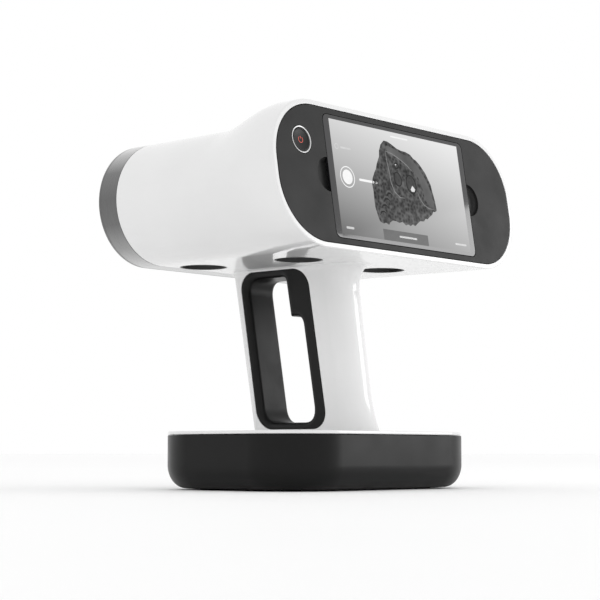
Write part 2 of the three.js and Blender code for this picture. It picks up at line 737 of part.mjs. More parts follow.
function addHandleInside(handle) {
  const spineRings = [HANDLE_BASE_Z + 0.4, CHASSIS_Z - 1.6].map((height) => {
    const outline = cornerPoints(6, 5, 1.5, 2);
    return outline.map(([x, y]) => new THREE.Vector3(x, ductMiddle(height) + y, height));
  });
  piece(handle, 'handle_spine', loft(spineRings), STEEL);
  const low = new THREE.Vector3(-CABLE_X, ductMiddle(37), 37);
  const high = new THREE.Vector3(-CABLE_X, ductMiddle(154), 154);
  const route = new THREE.LineCurve3(low, high);
  const section = new THREE.Shape().absarc(0, 0, 1.8, 0, 2 * Math.PI, false);
  const options = { steps: 4, extrudePath: route, bevelEnabled: false, curveSegments: 4 };
  piece(handle, 'power_cable', new THREE.ExtrudeGeometry(section, options), RUBBER);
}

// ---- Base -----------------------------------------------------------------------------------
function addFootPlate(handle) {
  const outline = roundedRect(BASE_HALF_WIDTH, BASE_HALF_DEPTH, BASE_CORNER);
  const top = HANDLE_BASE_Z - GAP;
  const plate = slab(outline, top - PLATE_THICK, PLATE_THICK, BASE_CORNER_STEPS);
  piece(handle, 'foot_plate', plate, WHITE).position.y = BASE_Y;
}

// The rail under the plate: a neck and a wider flange that the battery pack hangs from.
function addRail(handle) {
  const top = HANDLE_BASE_Z - GAP - PLATE_THICK - GAP;
  const frontY = BASE_Y + BASE_HALF_DEPTH - 6;
  const length = frontY - RAIL_REAR_Y;
  const middle = (frontY + RAIL_REAR_Y) / 2;
  const neckHeight = top - RAIL_BOTTOM_Z - RAIL_FLANGE;
  const neck = block(
    [0, middle, top - neckHeight / 2],
    [2 * RAIL_NECK_HALF_WIDTH, length, neckHeight],
  );
  const flange = block(
    [0, middle, RAIL_BOTTOM_Z + RAIL_FLANGE / 2],
    [2 * RAIL_HALF_WIDTH, length, RAIL_FLANGE],
  );
  const socket = block([0, RAIL_REAR_Y, RAIL_BOTTOM_Z + 2], [30, 14, 6]);
  piece(handle, 'battery_rail', cut(join(neck, flange), socket), ALUMINIUM);
  const plug = block([0, RAIL_REAR_Y + 5.2, RAIL_BOTTOM_Z + 2], [26, 3, 3]);
  piece(handle, 'rail_connector', plug, BRASS);
}

function casingRing(height, inset, bottom) {
  const drop = Math.max(0, bottom + CASING_ROUND - height) / CASING_ROUND;
  const tuck = CASING_TUCK * (1 - Math.sqrt(1 - Math.min(1, drop) ** 2));
  const draw = inset + tuck;
  const outline = cornerPoints(
    BASE_HALF_WIDTH - draw,
    BASE_HALF_DEPTH - draw,
    BASE_CORNER - draw,
    BASE_CORNER_STEPS,
  );
  return outline.map(([x, y]) => new THREE.Vector3(x, BASE_Y + y, height));
}

function casingSkin(inset, bottom, top) {
  const heights = [top];
  for (let i = 0; i <= 5; i++) {
    heights.push(bottom + CASING_ROUND * (1 - Math.sin((i / 5) * (Math.PI / 2))));
  }
  return loft(heights.map((height) => casingRing(height, inset, bottom)));
}

function addBattery(battery) {
  const outside = casingSkin(0, CASING_BOTTOM_Z, CASING_TOP_Z);
  const inside = casingSkin(CASING_WALL, CASING_BOTTOM_Z + CASING_WALL, CASING_TOP_Z + 10);
  const frontY = BASE_Y + BASE_HALF_DEPTH;
  const mouth = block([0, frontY, TROUGH_Z + 10], [2 * RAIL_HALF_WIDTH + 6.6, 20, 20]);
  const latchHole = block([LATCH_X, frontY, LATCH_Z], [LATCH_WIDTH + 0.6, 20, 6.6]);
  const sinks = screwPlaces().flatMap(([x, y]) => [
    rod('z', [x, y, 0], 3.4, 2 * CASING_BOTTOM_Z + 3.2, 12),
    rod('z', [x, y, 5], 1.9, 20, 8),
  ]);
  const footRecesses = corners(FOOT_X, FOOT_SPREAD).map(([x, y]) =>
    rod('z', [x, y, 0], FOOT_RADIUS + GAP, 2 * (FOOT_HEIGHT + GAP), 16),
  );
  const casing = cut(outside, inside, mouth, latchHole, ...sinks, ...footRecesses);
  piece(battery, 'battery_casing', casing, BLACK);
  piece(battery, 'battery_lid', batteryLid(), BLACK);
  addBatteryInside(battery);
  addFeet(battery);
}

// The lid closes the pack and carries the trough that the rail runs in, open at the front.
function batteryLid() {
  const edge = CASING_WALL + GAP;
  const outline = roundedRect(BASE_HALF_WIDTH - edge, BASE_HALF_DEPTH - edge, BASE_CORNER - edge);
  const plate = slab(outline, CASING_TOP_Z - 2, 2, BASE_CORNER_STEPS).translate(0, BASE_Y, 0);
  const rear = RAIL_REAR_Y - 2;
  const front = BASE_Y + BASE_HALF_DEPTH - edge;
  const middle = (rear + front) / 2;
  const length = front - rear;
  const troughHeight = CASING_TOP_Z - TROUGH_Z;
  const trough = block(
    [0, middle, TROUGH_Z + troughHeight / 2],
    [2 * RAIL_HALF_WIDTH + 6, length, troughHeight],
  );
  const widen = 2 * RAIL_RUN;
  const flangeTop = RAIL_BOTTOM_Z + RAIL_FLANGE + RAIL_RUN;
  const flangeSlot = block(
    [0, middle + 1.5, (RAIL_BOTTOM_Z - RAIL_RUN + flangeTop) / 2],
    [2 * RAIL_HALF_WIDTH + widen, length, flangeTop - RAIL_BOTTOM_Z + RAIL_RUN],
  );
  const neckSize = [2 * RAIL_NECK_HALF_WIDTH + widen, length, 8];
  const neckSlot = block([0, middle + 1.5, CASING_TOP_Z], neckSize);
  return cut(join(plate, trough), flangeSlot, neckSlot);
}

function addBatteryInside(battery) {
  for (let i = 0; i < 4; i++) {
    const column = i % 2 === 0 ? -1 : 1;
    const row = i < 2 ? -1 : 1;
    const x = column * (CELL_LENGTH / 2 + 1);
    const y = BASE_Y + row * (CELL_RADIUS + 0.5);
    const cell = rod('x', [x, y, CELL_Z], CELL_RADIUS, CELL_LENGTH, 20);
    piece(battery, `battery_cell_${i + 1}`, cell, CELL);
  }
  const board = block([0, BASE_Y - 40, CELL_Z], [100, 1.6, 13]);
  piece(battery, 'battery_board', board, BOARD);
  const contacts = block([0, RAIL_REAR_Y + 1.4, RAIL_BOTTOM_Z + 2], [24, 3.4, 2.4]);
  piece(battery, 'battery_contacts', contacts, BRASS);
  const wallY = BASE_Y + BASE_HALF_DEPTH - CASING_WALL;
  const latch = join(
    block([LATCH_X, wallY, LATCH_Z], [LATCH_WIDTH, 5, 6]),
    block([LATCH_X, wallY - 2, LATCH_Z], [LATCH_WIDTH + 4, 1.6, 8.4]),
  );
  piece(battery, 'battery_latch', latch, BEZEL);
  screwPlaces().forEach(([x, y, word]) => piece(battery, `casing_screw_${word}`, screw(x, y), STEEL));
}

// The four corners of a rectangle about the base's middle, each as [x, y, name].
function corners(halfX, halfY) {
  const places = [];
  for (const [end, sy] of [['front', 1], ['rear', -1]]) {
    for (const [side, sx] of [['left', -1], ['right', 1]]) {
      places.push([sx * halfX, BASE_Y + sy * halfY, `${end}_${side}`]);
    }
  }
  return places;
}

function screwPlaces() {
  return corners(SCREW_X, SCREW_SPREAD);
}

// A pan-head screw with a hexagon socket, sunk into the casing's floor.
function screw(x, y) {
  const headZ = CASING_BOTTOM_Z + 0.5;
  const headHeight = 0.8;
  const shank = rod('z', [x, y, headZ + 5], 1.5, 10, 8);
  const top = rod('z', [x, y, headZ + headHeight / 2], 3, headHeight, 12);
  return cut(join(top, shank), rod('z', [x, y, headZ], 1.1, 1, 6));
}

function addFeet(battery) {
  corners(FOOT_X, FOOT_SPREAD).forEach(([x, y, word]) => {
    const foot = rod('z', [x, y, FOOT_HEIGHT / 2], FOOT_RADIUS, FOOT_HEIGHT, 16);
    piece(battery, `foot_${word}`, foot, RUBBER);
  });
}

// ---- The whole scanner ------------------------------------------------------------------------
const scanner = new THREE.Group();

const head = new THREE.Group();
scanner.add(head);
addHeadShell(head);
addVents(head);
addFans(head);
addFront(head);
addElectronics(head);

const panel = new THREE.Group();
panel.position.set(0, PANEL_Y, PANEL_Z);
panel.rotation.x = Math.PI / 2 - PANEL_TILT;
scanner.add(panel);
addDisplay(panel);
addPowerButton(panel);

const handle = new THREE.Group();
scanner.add(handle);
addHandleShell(handle);
addLoop(handle);
addHandleInside(handle);
addFootPlate(handle);
addRail(handle);

const battery = new THREE.Group();
scanner.add(battery);
addBattery(battery);

export default scanner;
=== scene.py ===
"""Handheld 3-D scanner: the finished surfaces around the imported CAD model.

Metres, +Z up, +Y the way the scanner looks, +X the user's right, as in the CAD model.
"""

import json
import math

import bmesh
import bpy
from mathutils import Matrix, Vector

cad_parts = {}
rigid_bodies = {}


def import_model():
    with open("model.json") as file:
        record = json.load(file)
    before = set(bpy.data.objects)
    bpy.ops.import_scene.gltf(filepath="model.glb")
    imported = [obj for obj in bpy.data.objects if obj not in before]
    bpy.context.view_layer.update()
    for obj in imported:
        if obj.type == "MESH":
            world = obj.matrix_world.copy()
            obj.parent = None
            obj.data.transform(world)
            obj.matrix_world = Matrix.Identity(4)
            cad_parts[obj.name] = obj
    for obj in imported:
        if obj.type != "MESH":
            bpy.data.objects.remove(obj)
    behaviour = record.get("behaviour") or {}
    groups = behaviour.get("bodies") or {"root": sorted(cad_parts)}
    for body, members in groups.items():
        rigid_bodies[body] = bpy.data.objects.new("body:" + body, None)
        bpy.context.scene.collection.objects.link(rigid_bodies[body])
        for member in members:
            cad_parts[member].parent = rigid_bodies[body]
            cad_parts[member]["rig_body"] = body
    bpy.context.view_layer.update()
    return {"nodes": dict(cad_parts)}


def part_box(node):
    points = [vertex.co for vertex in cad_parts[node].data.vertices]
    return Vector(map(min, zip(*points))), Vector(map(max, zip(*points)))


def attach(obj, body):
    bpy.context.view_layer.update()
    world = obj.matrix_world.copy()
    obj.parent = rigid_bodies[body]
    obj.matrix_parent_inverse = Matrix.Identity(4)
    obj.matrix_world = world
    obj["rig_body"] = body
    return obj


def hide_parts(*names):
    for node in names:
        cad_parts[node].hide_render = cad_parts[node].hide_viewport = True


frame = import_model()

# ---- Places that the frame gives --------------------------------------------------------------


def middle_of(node):
    low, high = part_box(node)
    return (low + high) / 2


def half_across(node):
    low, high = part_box(node)
    return (high.x - low.x) / 2


def floor_under(node):
    """The placement that puts a turned piece's axis through a node's middle."""
    centre = middle_of(node)
    return Matrix.Translation((centre.x, centre.y, 0))


def at_corners(kind, ends=("front", "rear")):
    """The four nodes of a kind, one at each corner."""
    return [f"{kind}_{end}_{side}" for end in ends for side in ("left", "right")]


RING_LOW, RING_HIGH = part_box("front_ring")
SHELL_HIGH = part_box("head_shell")[1]
HALF_WIDTH = RING_HIGH.x
HALF_HEIGHT = (RING_HIGH.z - RING_LOW.z) / 2
HEAD_CORNER = HALF_HEIGHT
UNDERSIDE = RING_LOW.z
LENS_Z = UNDERSIDE + HALF_HEIGHT
WINDOW_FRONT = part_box("front_window")[1].y
WINDOW_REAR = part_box("front_window")[0].y
FRAME_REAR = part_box("optical_frame")[0].y

# ---- Driving dimensions, as in the CAD model ----------------------------------------------------
GAP = 0.0003
WALL = 0.003
RING_WALL = 0.005
FLARE_START = -0.0044
FLARE_END = -0.0594

PANEL_TILT = math.radians(8.86)
PANEL_HALF_WIDTH = SHELL_HIGH.x
PANEL_HALF_HEIGHT = 0.0447
REAR_HALF_HEIGHT = PANEL_HALF_HEIGHT * math.cos(PANEL_TILT)
PANEL_OUT = Vector((0, -math.cos(PANEL_TILT), math.sin(PANEL_TILT)))
PANEL_ACROSS = Vector((1, 0, 0))
PANEL_UP = Vector((0, math.sin(PANEL_TILT), math.cos(PANEL_TILT)))
GLASS_THICK = 0.0018
PANEL_CENTRE = middle_of("display_glass") + PANEL_OUT * GLASS_THICK / 2
BEZEL_INSET = WALL + 0.0005
BEZEL_FACE = 0.0016
BEZEL_THICK = 0.005
GLASS_HALF_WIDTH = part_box("display_glass")[1].x
GLASS_HALF_HEIGHT = 0.03765
GLASS_CORNER = 0.004
SCREEN_HALF_WIDTH = 0.0627
SCREEN_HALF_HEIGHT = 0.03525
SCREEN_TOP_LEFT, SCREEN_TOP_RIGHT = 213, 235  # 8-bit tones of its backdrop
SCREEN_LOW_LEFT, SCREEN_LOW_RIGHT = 104, 166

# The scanned part that the display shows, in millimetres from the display's middle.
PREVIEW_OUTLINE = [
    (-12.7, 28.6), (-9, 28.4), (-5.8, 27.3), (-1, 25.2), (2.9, 24.3), (8, 24), (12.4, 22.8),
    (15, 20.6), (17.2, 19.9), (20.5, 17.6), (22.4, 15.7), (25.2, 12.8), (27.5, 9), (29.6, 5.2),
    (30.4, 0.9), (31.8, -5), (32.4, -11.1), (30.2, -12.2), (28.6, -12), (27, -14.3), (24.3, -15.8),
    (21.5, -17.9), (19.8, -17.4), (17.5, -19.6), (14, -19.7), (10.6, -21.7), (8.2, -23.6),
    (5.9, -22.6), (3.4, -24), (1.4, -23.1), (-1.1, -24.1), (-4, -22.1), (-7.4, -23), (-10.3, -22.3),
    (-13.6, -22.2), (-16.4, -23.8), (-17.6, -25.5), (-20.4, -24.2), (-22.6, -25.1), (-25.8, -24.2),
    (-26.9, -21.9), (-27.7, -19.5), (-28.8, -15.6), (-29, -11.7), (-28.7, -5), (-29.1, -1.4),
    (-28.1, 2.6), (-25.4, 6.9), (-23.6, 9.2), (-22.3, 12.4), (-19.1, 17.5), (-18.4, 21.2),
    (-16.2, 25.5),
]
PREVIEW_FLANK = [
    (-11.6, 26.2), (-5, 24.9), (3.2, 22.6), (12, 20.8), (19, 15.6), (25.2, 8.2), (28.8, 0.4),
    (30.8, -9.2), (26.2, -9.6), (21.8, -5), (20.4, 1.8), (17.6, 8.4), (12.6, 13), (5, 16.8),
    (-3, 19.6), (-10.4, 20.4),
]
PREVIEW_BORES = [((-3.4, 5.1), (3.1, 3.9)), ((9.4, 3.2), (4.2, 5.4)), ((-3.2, 13.7), (1.6, 1.3))]
PREVIEW_OPENING = [(10.4, 2.6), (12.8, 0.4), (11.8, -1.2), (9.2, -1.4), (8.2, -0.2)]
PREVIEW_RIDGES = [
    [(-12.4, 22), (-12, 16), (-11, 9), (-10.4, 2), (-8, -3.4), (-3.4, -6.6), (1.6, -6.4)],
    [(15, -1), (16.6, -5.2), (20.2, -8.8), (25, -10.6), (29.4, -10.4)],
    [(-12.4, 22), (-6, 21), (1, 18.4), (7, 15.6), (13, 11.6)],
]
PREVIEW_RIBS = [
    [(-25.6, -18.6), (-23.6, -16.4), (-21.2, -16), (-19.2, -17.6)],
    [(-23.4, -14.2), (-21.2, -12), (-18.6, -11.8), (-16.6, -13.6)],
    [(-20.6, -10), (-18.4, -7.8), (-15.8, -7.6), (-13.8, -9.4)],
    [(-17.2, -6), (-15.2, -4), (-12.8, -3.8), (-11, -5.4)],
]

SCOOP_RADIUS = 0.0105
SCOOP_DEPTH = 0.0032
BUTTON_RADIUS = 0.007
BUTTON_RING_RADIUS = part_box("power_button_ring")[1].x - middle_of("power_button_ring").x
BUTTON_U = middle_of("power_button").x
BUTTON_V = 0.01852

# Painted reflection: the front ring's tones by which way it faces, from down (0) through its sides (0.5) to
# its top (1).
RING_PAINTED_REFLECTION_TONES = [(0, 205), (0.12, 160), (0.3, 118), (0.5, 110), (0.72, 124), (0.88, 184), (1, 234)]

VENT_RADIUS = 0.015
VENT_FLOOR = 0.0025  # how far its floor lies above the head's underside
NECK_HALF = (0.0115, 0.017)  # the opening over the handle's duct
NECK_CORNER = 0.005
NECK_Y = -0.015
DIFFUSER_HALF = (0.007, 0.017)

HANDLE_HALF = 0.0135
HANDLE_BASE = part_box("handle_shell")[0].z
HANDLE_TOP = UNDERSIDE + 0.00002  # its skin runs into the head's underside without a seam
HANDLE_FRONT = (0.0451, 0.0566, 0.183)  # y, z and the forward slope of its line
HANDLE_REAR = (-0.0402, 0.0875, 0.14)
FRONT_RADIUS = 0.006
TOP_FILLET = 0.018
SIDE_FILLET = 0.004
FOOT_FLARE = 0.0042
FOOT_FLARE_TOP = 0.062
DUCT_WALL = 0.0028

LOOP_Y, LOOP_Z = 0.0141, 0.08835
LOOP_LEAN = 0.172
LOOP_HALF = (0.0294, 0.05075)
LOOP_CORNER = 0.012
HOLE_HALF = (0.0218, 0.04665)
HOLE_SHIFT = 0.0028
HOLE_CORNER = 0.009
HOLE_LOWER_FRONT_CORNER = 0.012
LOOP_EDGE = 0.004
# The band's outer edge is nearly sharp, so that it never meets the hole's wide edge.
LOOP_RIM = 0.00004
LOOP_FACE = HANDLE_HALF - 0.0001
HOUSING_FRONT = (0.0085, 0.1092)
HOUSING_SLOPE = 0.182
HOUSING_TOP_FILLET = 0.0045
HOUSING_FILLET = 0.0075
TRIGGER_Z = 0.1205
TRIGGER_HALF = (0.0084, 0.0086)

BASE_MIDDLE = middle_of("foot_plate")
BASE_HALF = (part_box("foot_plate")[1].x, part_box("foot_plate")[1].y - BASE_MIDDLE.y)
BASE_CORNER = 0.04
CASING_LOW, CASING_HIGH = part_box("battery_casing")
CASING_ROUND = 0.0145
CASING_TUCK = 0.0115
TROUGH_Z = 0.0236
RAIL_MOUTH_HALF = 0.0333
LATCH_HALF_WIDTH = 0.008

# The camera's place, its turn from +Y towards +X, its tilt up, and its lens in millimetres.
CAMERA_PLACE = (-0.8026, -0.7136, 0.0222)
CAMERA_YAW = math.radians(47.925)
CAMERA_PITCH = math.radians(5.199)
CAMERA_LENS, CAMERA_SENSOR = 101.15, 36

# ---- Fineness ---------------------------------------------------------------------------------
CORNER_STEPS = 24  # facets in a quarter turn of a large corner
TURN_STEPS = 72  # facets in a whole turn
EDGE_STEPS = 3  # facets across a rounded edge
LARGE_EDGE = 0.002
LARGE_EDGE_STEPS = 10  # facets across an edge rounded more than that
WELD = 2e-6
EDGE = 0.0003  # rounding of a crisp moulded edge
SHARP = math.radians(38)

UPRIGHT = Matrix.Translation((0, 0, LENS_Z)) @ Matrix.Rotation(-math.pi / 2, 4, "X")
SIDEWAYS = Matrix(((0, 0, 1, 0), (1, 0, 0, 0), (0, 1, 0, 0), (0, 0, 0, 1)))
PANEL = Matrix.Translation(PANEL_CENTRE) @ Matrix.Rotation(math.pi / 2 - PANEL_TILT, 4, "X")


# ---- Outlines -----------------------------------------------------------------------------------
def rounded(half_width, half_height, corner, steps=CORNER_STEPS, centre=(0, 0)):
    """A rounded rectangle, counterclockwise."""
    points = []
    for turn, (sx, sy) in enumerate(((1, 1), (-1, 1), (-1, -1), (1, -1))):
        for i in range(steps + 1):
            angle = (turn + i / steps) * math.pi / 2
            x = sx * (half_width - corner) + corner * math.cos(angle)
            y = sy * (half_height - corner) + corner * math.sin(angle)
            points.append(Vector((centre[0] + x, centre[1] + y)))
    return points


def circle(radius, centre=(0, 0), steps=TURN_STEPS):
    turns = [i / steps * math.tau for i in range(steps)]
    return [Vector((centre[0] + radius * math.cos(a), centre[1] + radius * math.sin(a))) for a in turns]


def distinct(outline):
    """The closed outline without points that repeat the one before."""
    return [p for i, p in enumerate(outline) if (p - outline[i - 1]).length > WELD]


def offset(outline, distance):
    """The counterclockwise outline moved outwards by distance."""
    moved = []
    for i, point in enumerate(outline):
        arriving = (point - outline[i - 1]).normalized()
        leaving = (outline[(i + 1) % len(outline)] - point).normalized()
        normal = Vector((arriving.y, -arriving.x))
        bisector = (normal + Vector((leaving.y, -leaving.x))).normalized()
        moved.append(point + bisector * distance / max(0.3, bisector.dot(normal)))
    return moved


def filleted(corners, radius, closed=True, steps=EDGE_STEPS):
    """The line through the corners with each of them rounded, as far as its sides allow.

    A list of radii gives each corner its own, unlimited.
    """
    listed = isinstance(radius, list)
    points = []
    last = len(corners) - 1
    for i, corner in enumerate(corners):
        corner = Vector(corner)
        if not closed and i in (0, last):
            points.append(corner)
            continue
        back = Vector(corners[i - 1]) - corner
        ahead = Vector(corners[(i + 1) % len(corners)]) - corner
        half = back.angle(ahead) / 2
        reach = (radius[i] if listed else radius) / math.tan(half)
        if not listed:
            reach = min(reach, 0.45 * back.length, 0.45 * ahead.length)
        start = corner + back.normalized() * reach
        end = corner + ahead.normalized() * reach
        for k in range(steps + 1):
            t = k / steps
            bend = start.lerp(corner, t).lerp(corner.lerp(end, t), t)
            points.append(bend)
    return points


def subdivided(points, step):
    """The closed line with no stretch longer than step."""
    dense = []
    for i, point in enumerate(points):
        ahead = points[(i + 1) % len(points)]
        parts = max(1, math.ceil((ahead - point).length / step))
        dense += [point.lerp(ahead, k / parts) for k in range(parts)]
    return dense


# ---- Meshes -------------------------------------------------------------------------------------
def made(name, bm, place=Matrix()):
    """A new object from the bmesh, welded and facing out."""
    bmesh.ops.remove_doubles(bm, verts=bm.verts, dist=WELD)
    bmesh.ops.transform(bm, matrix=place, verts=bm.verts)
    bmesh.ops.recalc_face_normals(bm, faces=bm.faces)
    mesh = bpy.data.meshes.new(name)
    bm.to_mesh(mesh)
    bm.free()
    piece = bpy.data.objects.new(name, mesh)
    bpy.context.scene.collection.objects.link(piece)
    return piece


def skin(bm, rings, closed=False):
    """Quads between consecutive rings of equal length; returns the rings' vertices."""
    loops = [[bm.verts.new(point) for point in ring] for ring in rings]
    following = loops[1:] + loops[:1] if closed else loops[1:]
    for ring, after in zip(loops, following):
        for i in range(len(ring)):
            bm.faces.new((ring[i - 1], ring[i], after[i], after[i - 1]))
    return loops


def loft(name, rings, closed=False, place=Matrix()):
    """A solid through the rings. A closed loft joins the last ring to the first."""
    bm = bmesh.new()
    loops = skin(bm, rings, closed)
    if not closed:
        bm.faces.new(loops[0])
        bm.faces.new(loops[-1])
    return made(name, bm, place)


def plate(name, outline, low, high, edge=EDGE, holes=(), place=Matrix(), hole_edge=None):
    """A flat plate from low to high with holes through it, every edge rounded."""
    bm = bmesh.new()
    rims = ([], [])
    for number, border in enumerate([outline, *holes]):
        inward = -1 if number == 0 else 1
        width = hole_edge if hole_edge and number else edge
        steps = EDGE_STEPS if width < LARGE_EDGE else LARGE_EDGE_STEPS
        turns = [i / steps * math.pi / 2 for i in range(steps + 1)]
        border = distinct(border)
        rounding = [(width * (1 - math.sin(a)), width * (1 - math.cos(a))) for a in turns]
        levels = [(draw, low + rise) for draw, rise in rounding]
        levels += [(draw, high - rise) for draw, rise in reversed(rounding)]
        rings = [[(*p, z) for p in offset(border, inward * draw)] for draw, z in levels]
        loops = skin(bm, rings)
        for rim, loop in zip(rims, (loops[0], loops[-1])):
            rim += [bm.edges.get((loop[i - 1], loop[i])) for i in range(len(loop))]
    for rim in rims:
        bmesh.ops.triangle_fill(bm, use_beauty=True, edges=rim)
    return made(name, bm, place)


def turned(name, profile, place=Matrix(), closed=False, steps=TURN_STEPS):
    """A profile of (radius, height) points turned about z. Unless closed, it ends on the axis."""
    bm = bmesh.new()
    rings = [[(*p, height) for p in circle(radius, steps=steps)] for radius, height in profile]
    skin(bm, rings, closed)
    bmesh.ops.remove_doubles(bm, verts=bm.verts, dist=WELD)
    return made(name, bm, place)


def settled(piece):
    """Applies the piece's modifiers to its mesh."""
    graph = bpy.context.evaluated_depsgraph_get()
    mesh = bpy.data.meshes.new_from_object(piece.evaluated_get(graph))
    before = piece.data
    piece.modifiers.clear()
    piece.data = mesh
    bpy.data.meshes.remove(before)
    return piece


def combined(piece, operation, tools):
    for tool in tools:
        modifier = piece.modifiers.new(operation, "BOOLEAN")
        modifier.operation = operation
        modifier.solver = "EXACT"
        modifier.object = tool
    settled(piece)
    for tool in tools:
        bpy.data.objects.remove(tool)
    return piece


def carved(piece, *tools):
    return combined(piece, "DIFFERENCE", tools)


def joined(piece, *others):
    return combined(piece, "UNION", others)


def edges_rounded(piece, width, chosen=lambda edge: True, steps=EDGE_STEPS):
    """Rounds the chosen sharp edges of the piece."""
    bm = bmesh.new()
    bm.from_mesh(piece.data)
    bmesh.ops.remove_doubles(bm, verts=bm.verts, dist=WELD)
    bmesh.ops.dissolve_limit(bm, angle_limit=math.radians(0.3), verts=bm.verts, edges=bm.edges)
    sharp = [e for e in bm.edges if e.calc_face_angle(0) > SHARP and chosen(e)]
    bmesh.ops.bevel(
        bm, geom=sharp, offset=width, segments=steps, profile=0.5, affect="EDGES", clamp_overlap=True
    )
    bmesh.ops.remove_doubles(bm, verts=bm.verts, dist=WELD)
    bm.to_mesh(piece.data)
    bm.free()
    return piece


def refined(node, width=0.0004):
    """A copy of a CAD node with its flat faces made whole and its edges rounded."""
    bm = bmesh.new()
    bm.from_mesh(frame["nodes"][node].data)
    bmesh.ops.remove_doubles(bm, verts=bm.verts, dist=WELD)
    flat = math.radians(1)
    bmesh.ops.dissolve_limit(bm, angle_limit=flat, verts=bm.verts, edges=bm.edges)
    return edges_rounded(made(f"fine_{node}", bm), width, steps=2)


def show(piece, slot, *nodes):
    """Gives the piece its finish and its body, and hides the CAD nodes that it stands for."""
    body = frame["nodes"][nodes[0]]["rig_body"]
    if not piece.data.materials or piece.data.materials[0] is None:
        piece.data.materials.clear()
        piece.data.materials.append(FINISHES[slot])
    piece.data.shade_smooth()
    piece.data.set_sharp_from_angle(angle=SHARP)
    weighted = piece.modifiers.new("normals", "WEIGHTED_NORMAL")
    weighted.keep_sharp = True
    settled(piece)
    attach(piece, body)
    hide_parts(*nodes)
    return piece


# ---- Materials ------------------------------------------------------------------------------------
def linear(value):
    """The linear value of an 8-bit sRGB tone."""
    share = value / 255
    return share / 12.92 if share <= 0.04045 else ((share + 0.055) / 1.055) ** 2.4


def grey(value, warmth=0.0):
    level = linear(value)
    return (level * (1 + warmth), level, level * (1 - warmth), 1)


def tone(red, green, blue):
    return (linear(red), linear(green), linear(blue), 1)


class Recipe:
    """A principled material that is built up from node layers in object coordinates."""

    def __init__(self, name, colour, roughness, metallic=0.0, coat=0.0):
        self.material = bpy.data.materials.new(name)
        self.material.use_nodes = True
        self.nodes = self.material.node_tree.nodes
        self.shader = self.nodes["Principled BSDF"]
        self.colour = colour
        self.roughness = roughness
        self.shader.inputs["Base Color"].default_value = colour
        self.shader.inputs["Roughness"].default_value = roughness
        self.shader.inputs["Metallic"].default_value = metallic
        self.shader.inputs["Coat Weight"].default_value = coat
        self.shader.inputs["Coat Roughness"].default_value = 0.06
        self.texture_place = self.nodes.new("ShaderNodeTexCoord")
        self.place = self.texture_place.outputs["Object"]

    def link(self, output, target):
        self.material.node_tree.links.new(output, target)

    def noise(self, scale, stretch=(1, 1, 1), detail=3.0):
        mapping = self.nodes.new("ShaderNodeMapping")
        mapping.inputs["Scale"].default_value = stretch
        self.link(self.place, mapping.inputs["Vector"])
        texture = self.nodes.new("ShaderNodeTexNoise")
        texture.inputs["Scale"].default_value = scale
        texture.inputs["Detail"].default_value = detail
        self.link(mapping.outputs["Vector"], texture.inputs["Vector"])
        return texture.outputs["Fac"]

    def mixed(self, factor, first, second):
        """A node between two colours. Each argument is a value or another node's output."""
        mix = self.nodes.new("ShaderNodeMix")
        mix.data_type = "RGBA"
        for socket, value in (("A", first), ("B", second), ("Factor", factor)):
            if isinstance(value, (tuple, float)):
                mix.inputs[socket].default_value = value
            else:
                self.link(value, mix.inputs[socket])
        return mix

    def ramp(self, value, stops):
        """The colour at a value, along (position, colour) stops."""
        ramp = self.nodes.new("ShaderNodeValToRGB")
        elements = ramp.color_ramp.elements
        for element, (position, colour) in zip(elements, (stops[0], stops[-1])):
            element.position, element.color = position, colour
        for position, colour in stops[1:-1]:
            elements.new(position).color = colour
        self.link(value, ramp.inputs["Fac"])
        return ramp.outputs["Color"]

    def spread(self, value, low, high):
        """The middle of a noise's range, mapped to low and high."""
        scaled = self.nodes.new("ShaderNodeMapRange")
        scaled.inputs["From Min"].default_value = 0.3
        scaled.inputs["From Max"].default_value = 0.7
        scaled.inputs["To Min"].default_value = low
        scaled.inputs["To Max"].default_value = high
        self.link(value, scaled.inputs["Value"])
        return scaled.outputs["Result"]

    def uneven_gloss(self, scale, share, stretch=(1, 1, 1)):
        value = self.noise(scale, stretch)
        low, high = self.roughness * (1 - share), self.roughness * (1 + share)
        self.link(self.spread(value, low, high), self.shader.inputs["Roughness"])
        return self

    def uneven_colour(self, scale, other, stretch=(1, 1, 1)):
        mix = self.mixed(self.spread(self.noise(scale, stretch), 0, 1), self.colour, other)
        self.link(mix.outputs["Result"], self.shader.inputs["Base Color"])
        return self

    def bumped(self, scale, depth, strength, stretch=(1, 1, 1), detail=3.0):
        bump = self.nodes.new("ShaderNodeBump")
        bump.inputs["Distance"].default_value = depth
        bump.inputs["Strength"].default_value = strength
        self.link(self.noise(scale, stretch, detail), bump.inputs["Height"])
        self.link(bump.outputs["Normal"], self.shader.inputs["Normal"])
        return self


def plastic(name, level, roughness, grain, depth, coat=0.0, specular=0.5):
    """Moulded plastic: an even tone with slight drift, a fine grain and uneven gloss."""
    recipe = Recipe(name, grey(level), roughness, coat=coat)
    recipe.shader.inputs["Specular IOR Level"].default_value = specular
    recipe.uneven_colour(9, grey(level * 0.965))
    recipe.uneven_gloss(55, 0.14)
    return recipe.bumped(grain, depth, 0.5).material


def metal(name, colour, roughness, stretch=(1, 1, 1), scale=900):
    """Metal whose grain runs across the axis with the largest stretch."""
    recipe = Recipe(name, colour, roughness, metallic=1.0)
    darker = (*(c * 0.86 for c in colour[:3]), 1)
    recipe.uneven_colour(scale, darker, stretch)
    recipe.uneven_gloss(scale, 0.25, stretch)
    return recipe.bumped(scale, 0.00002, 0.35, stretch, detail=2.0).material


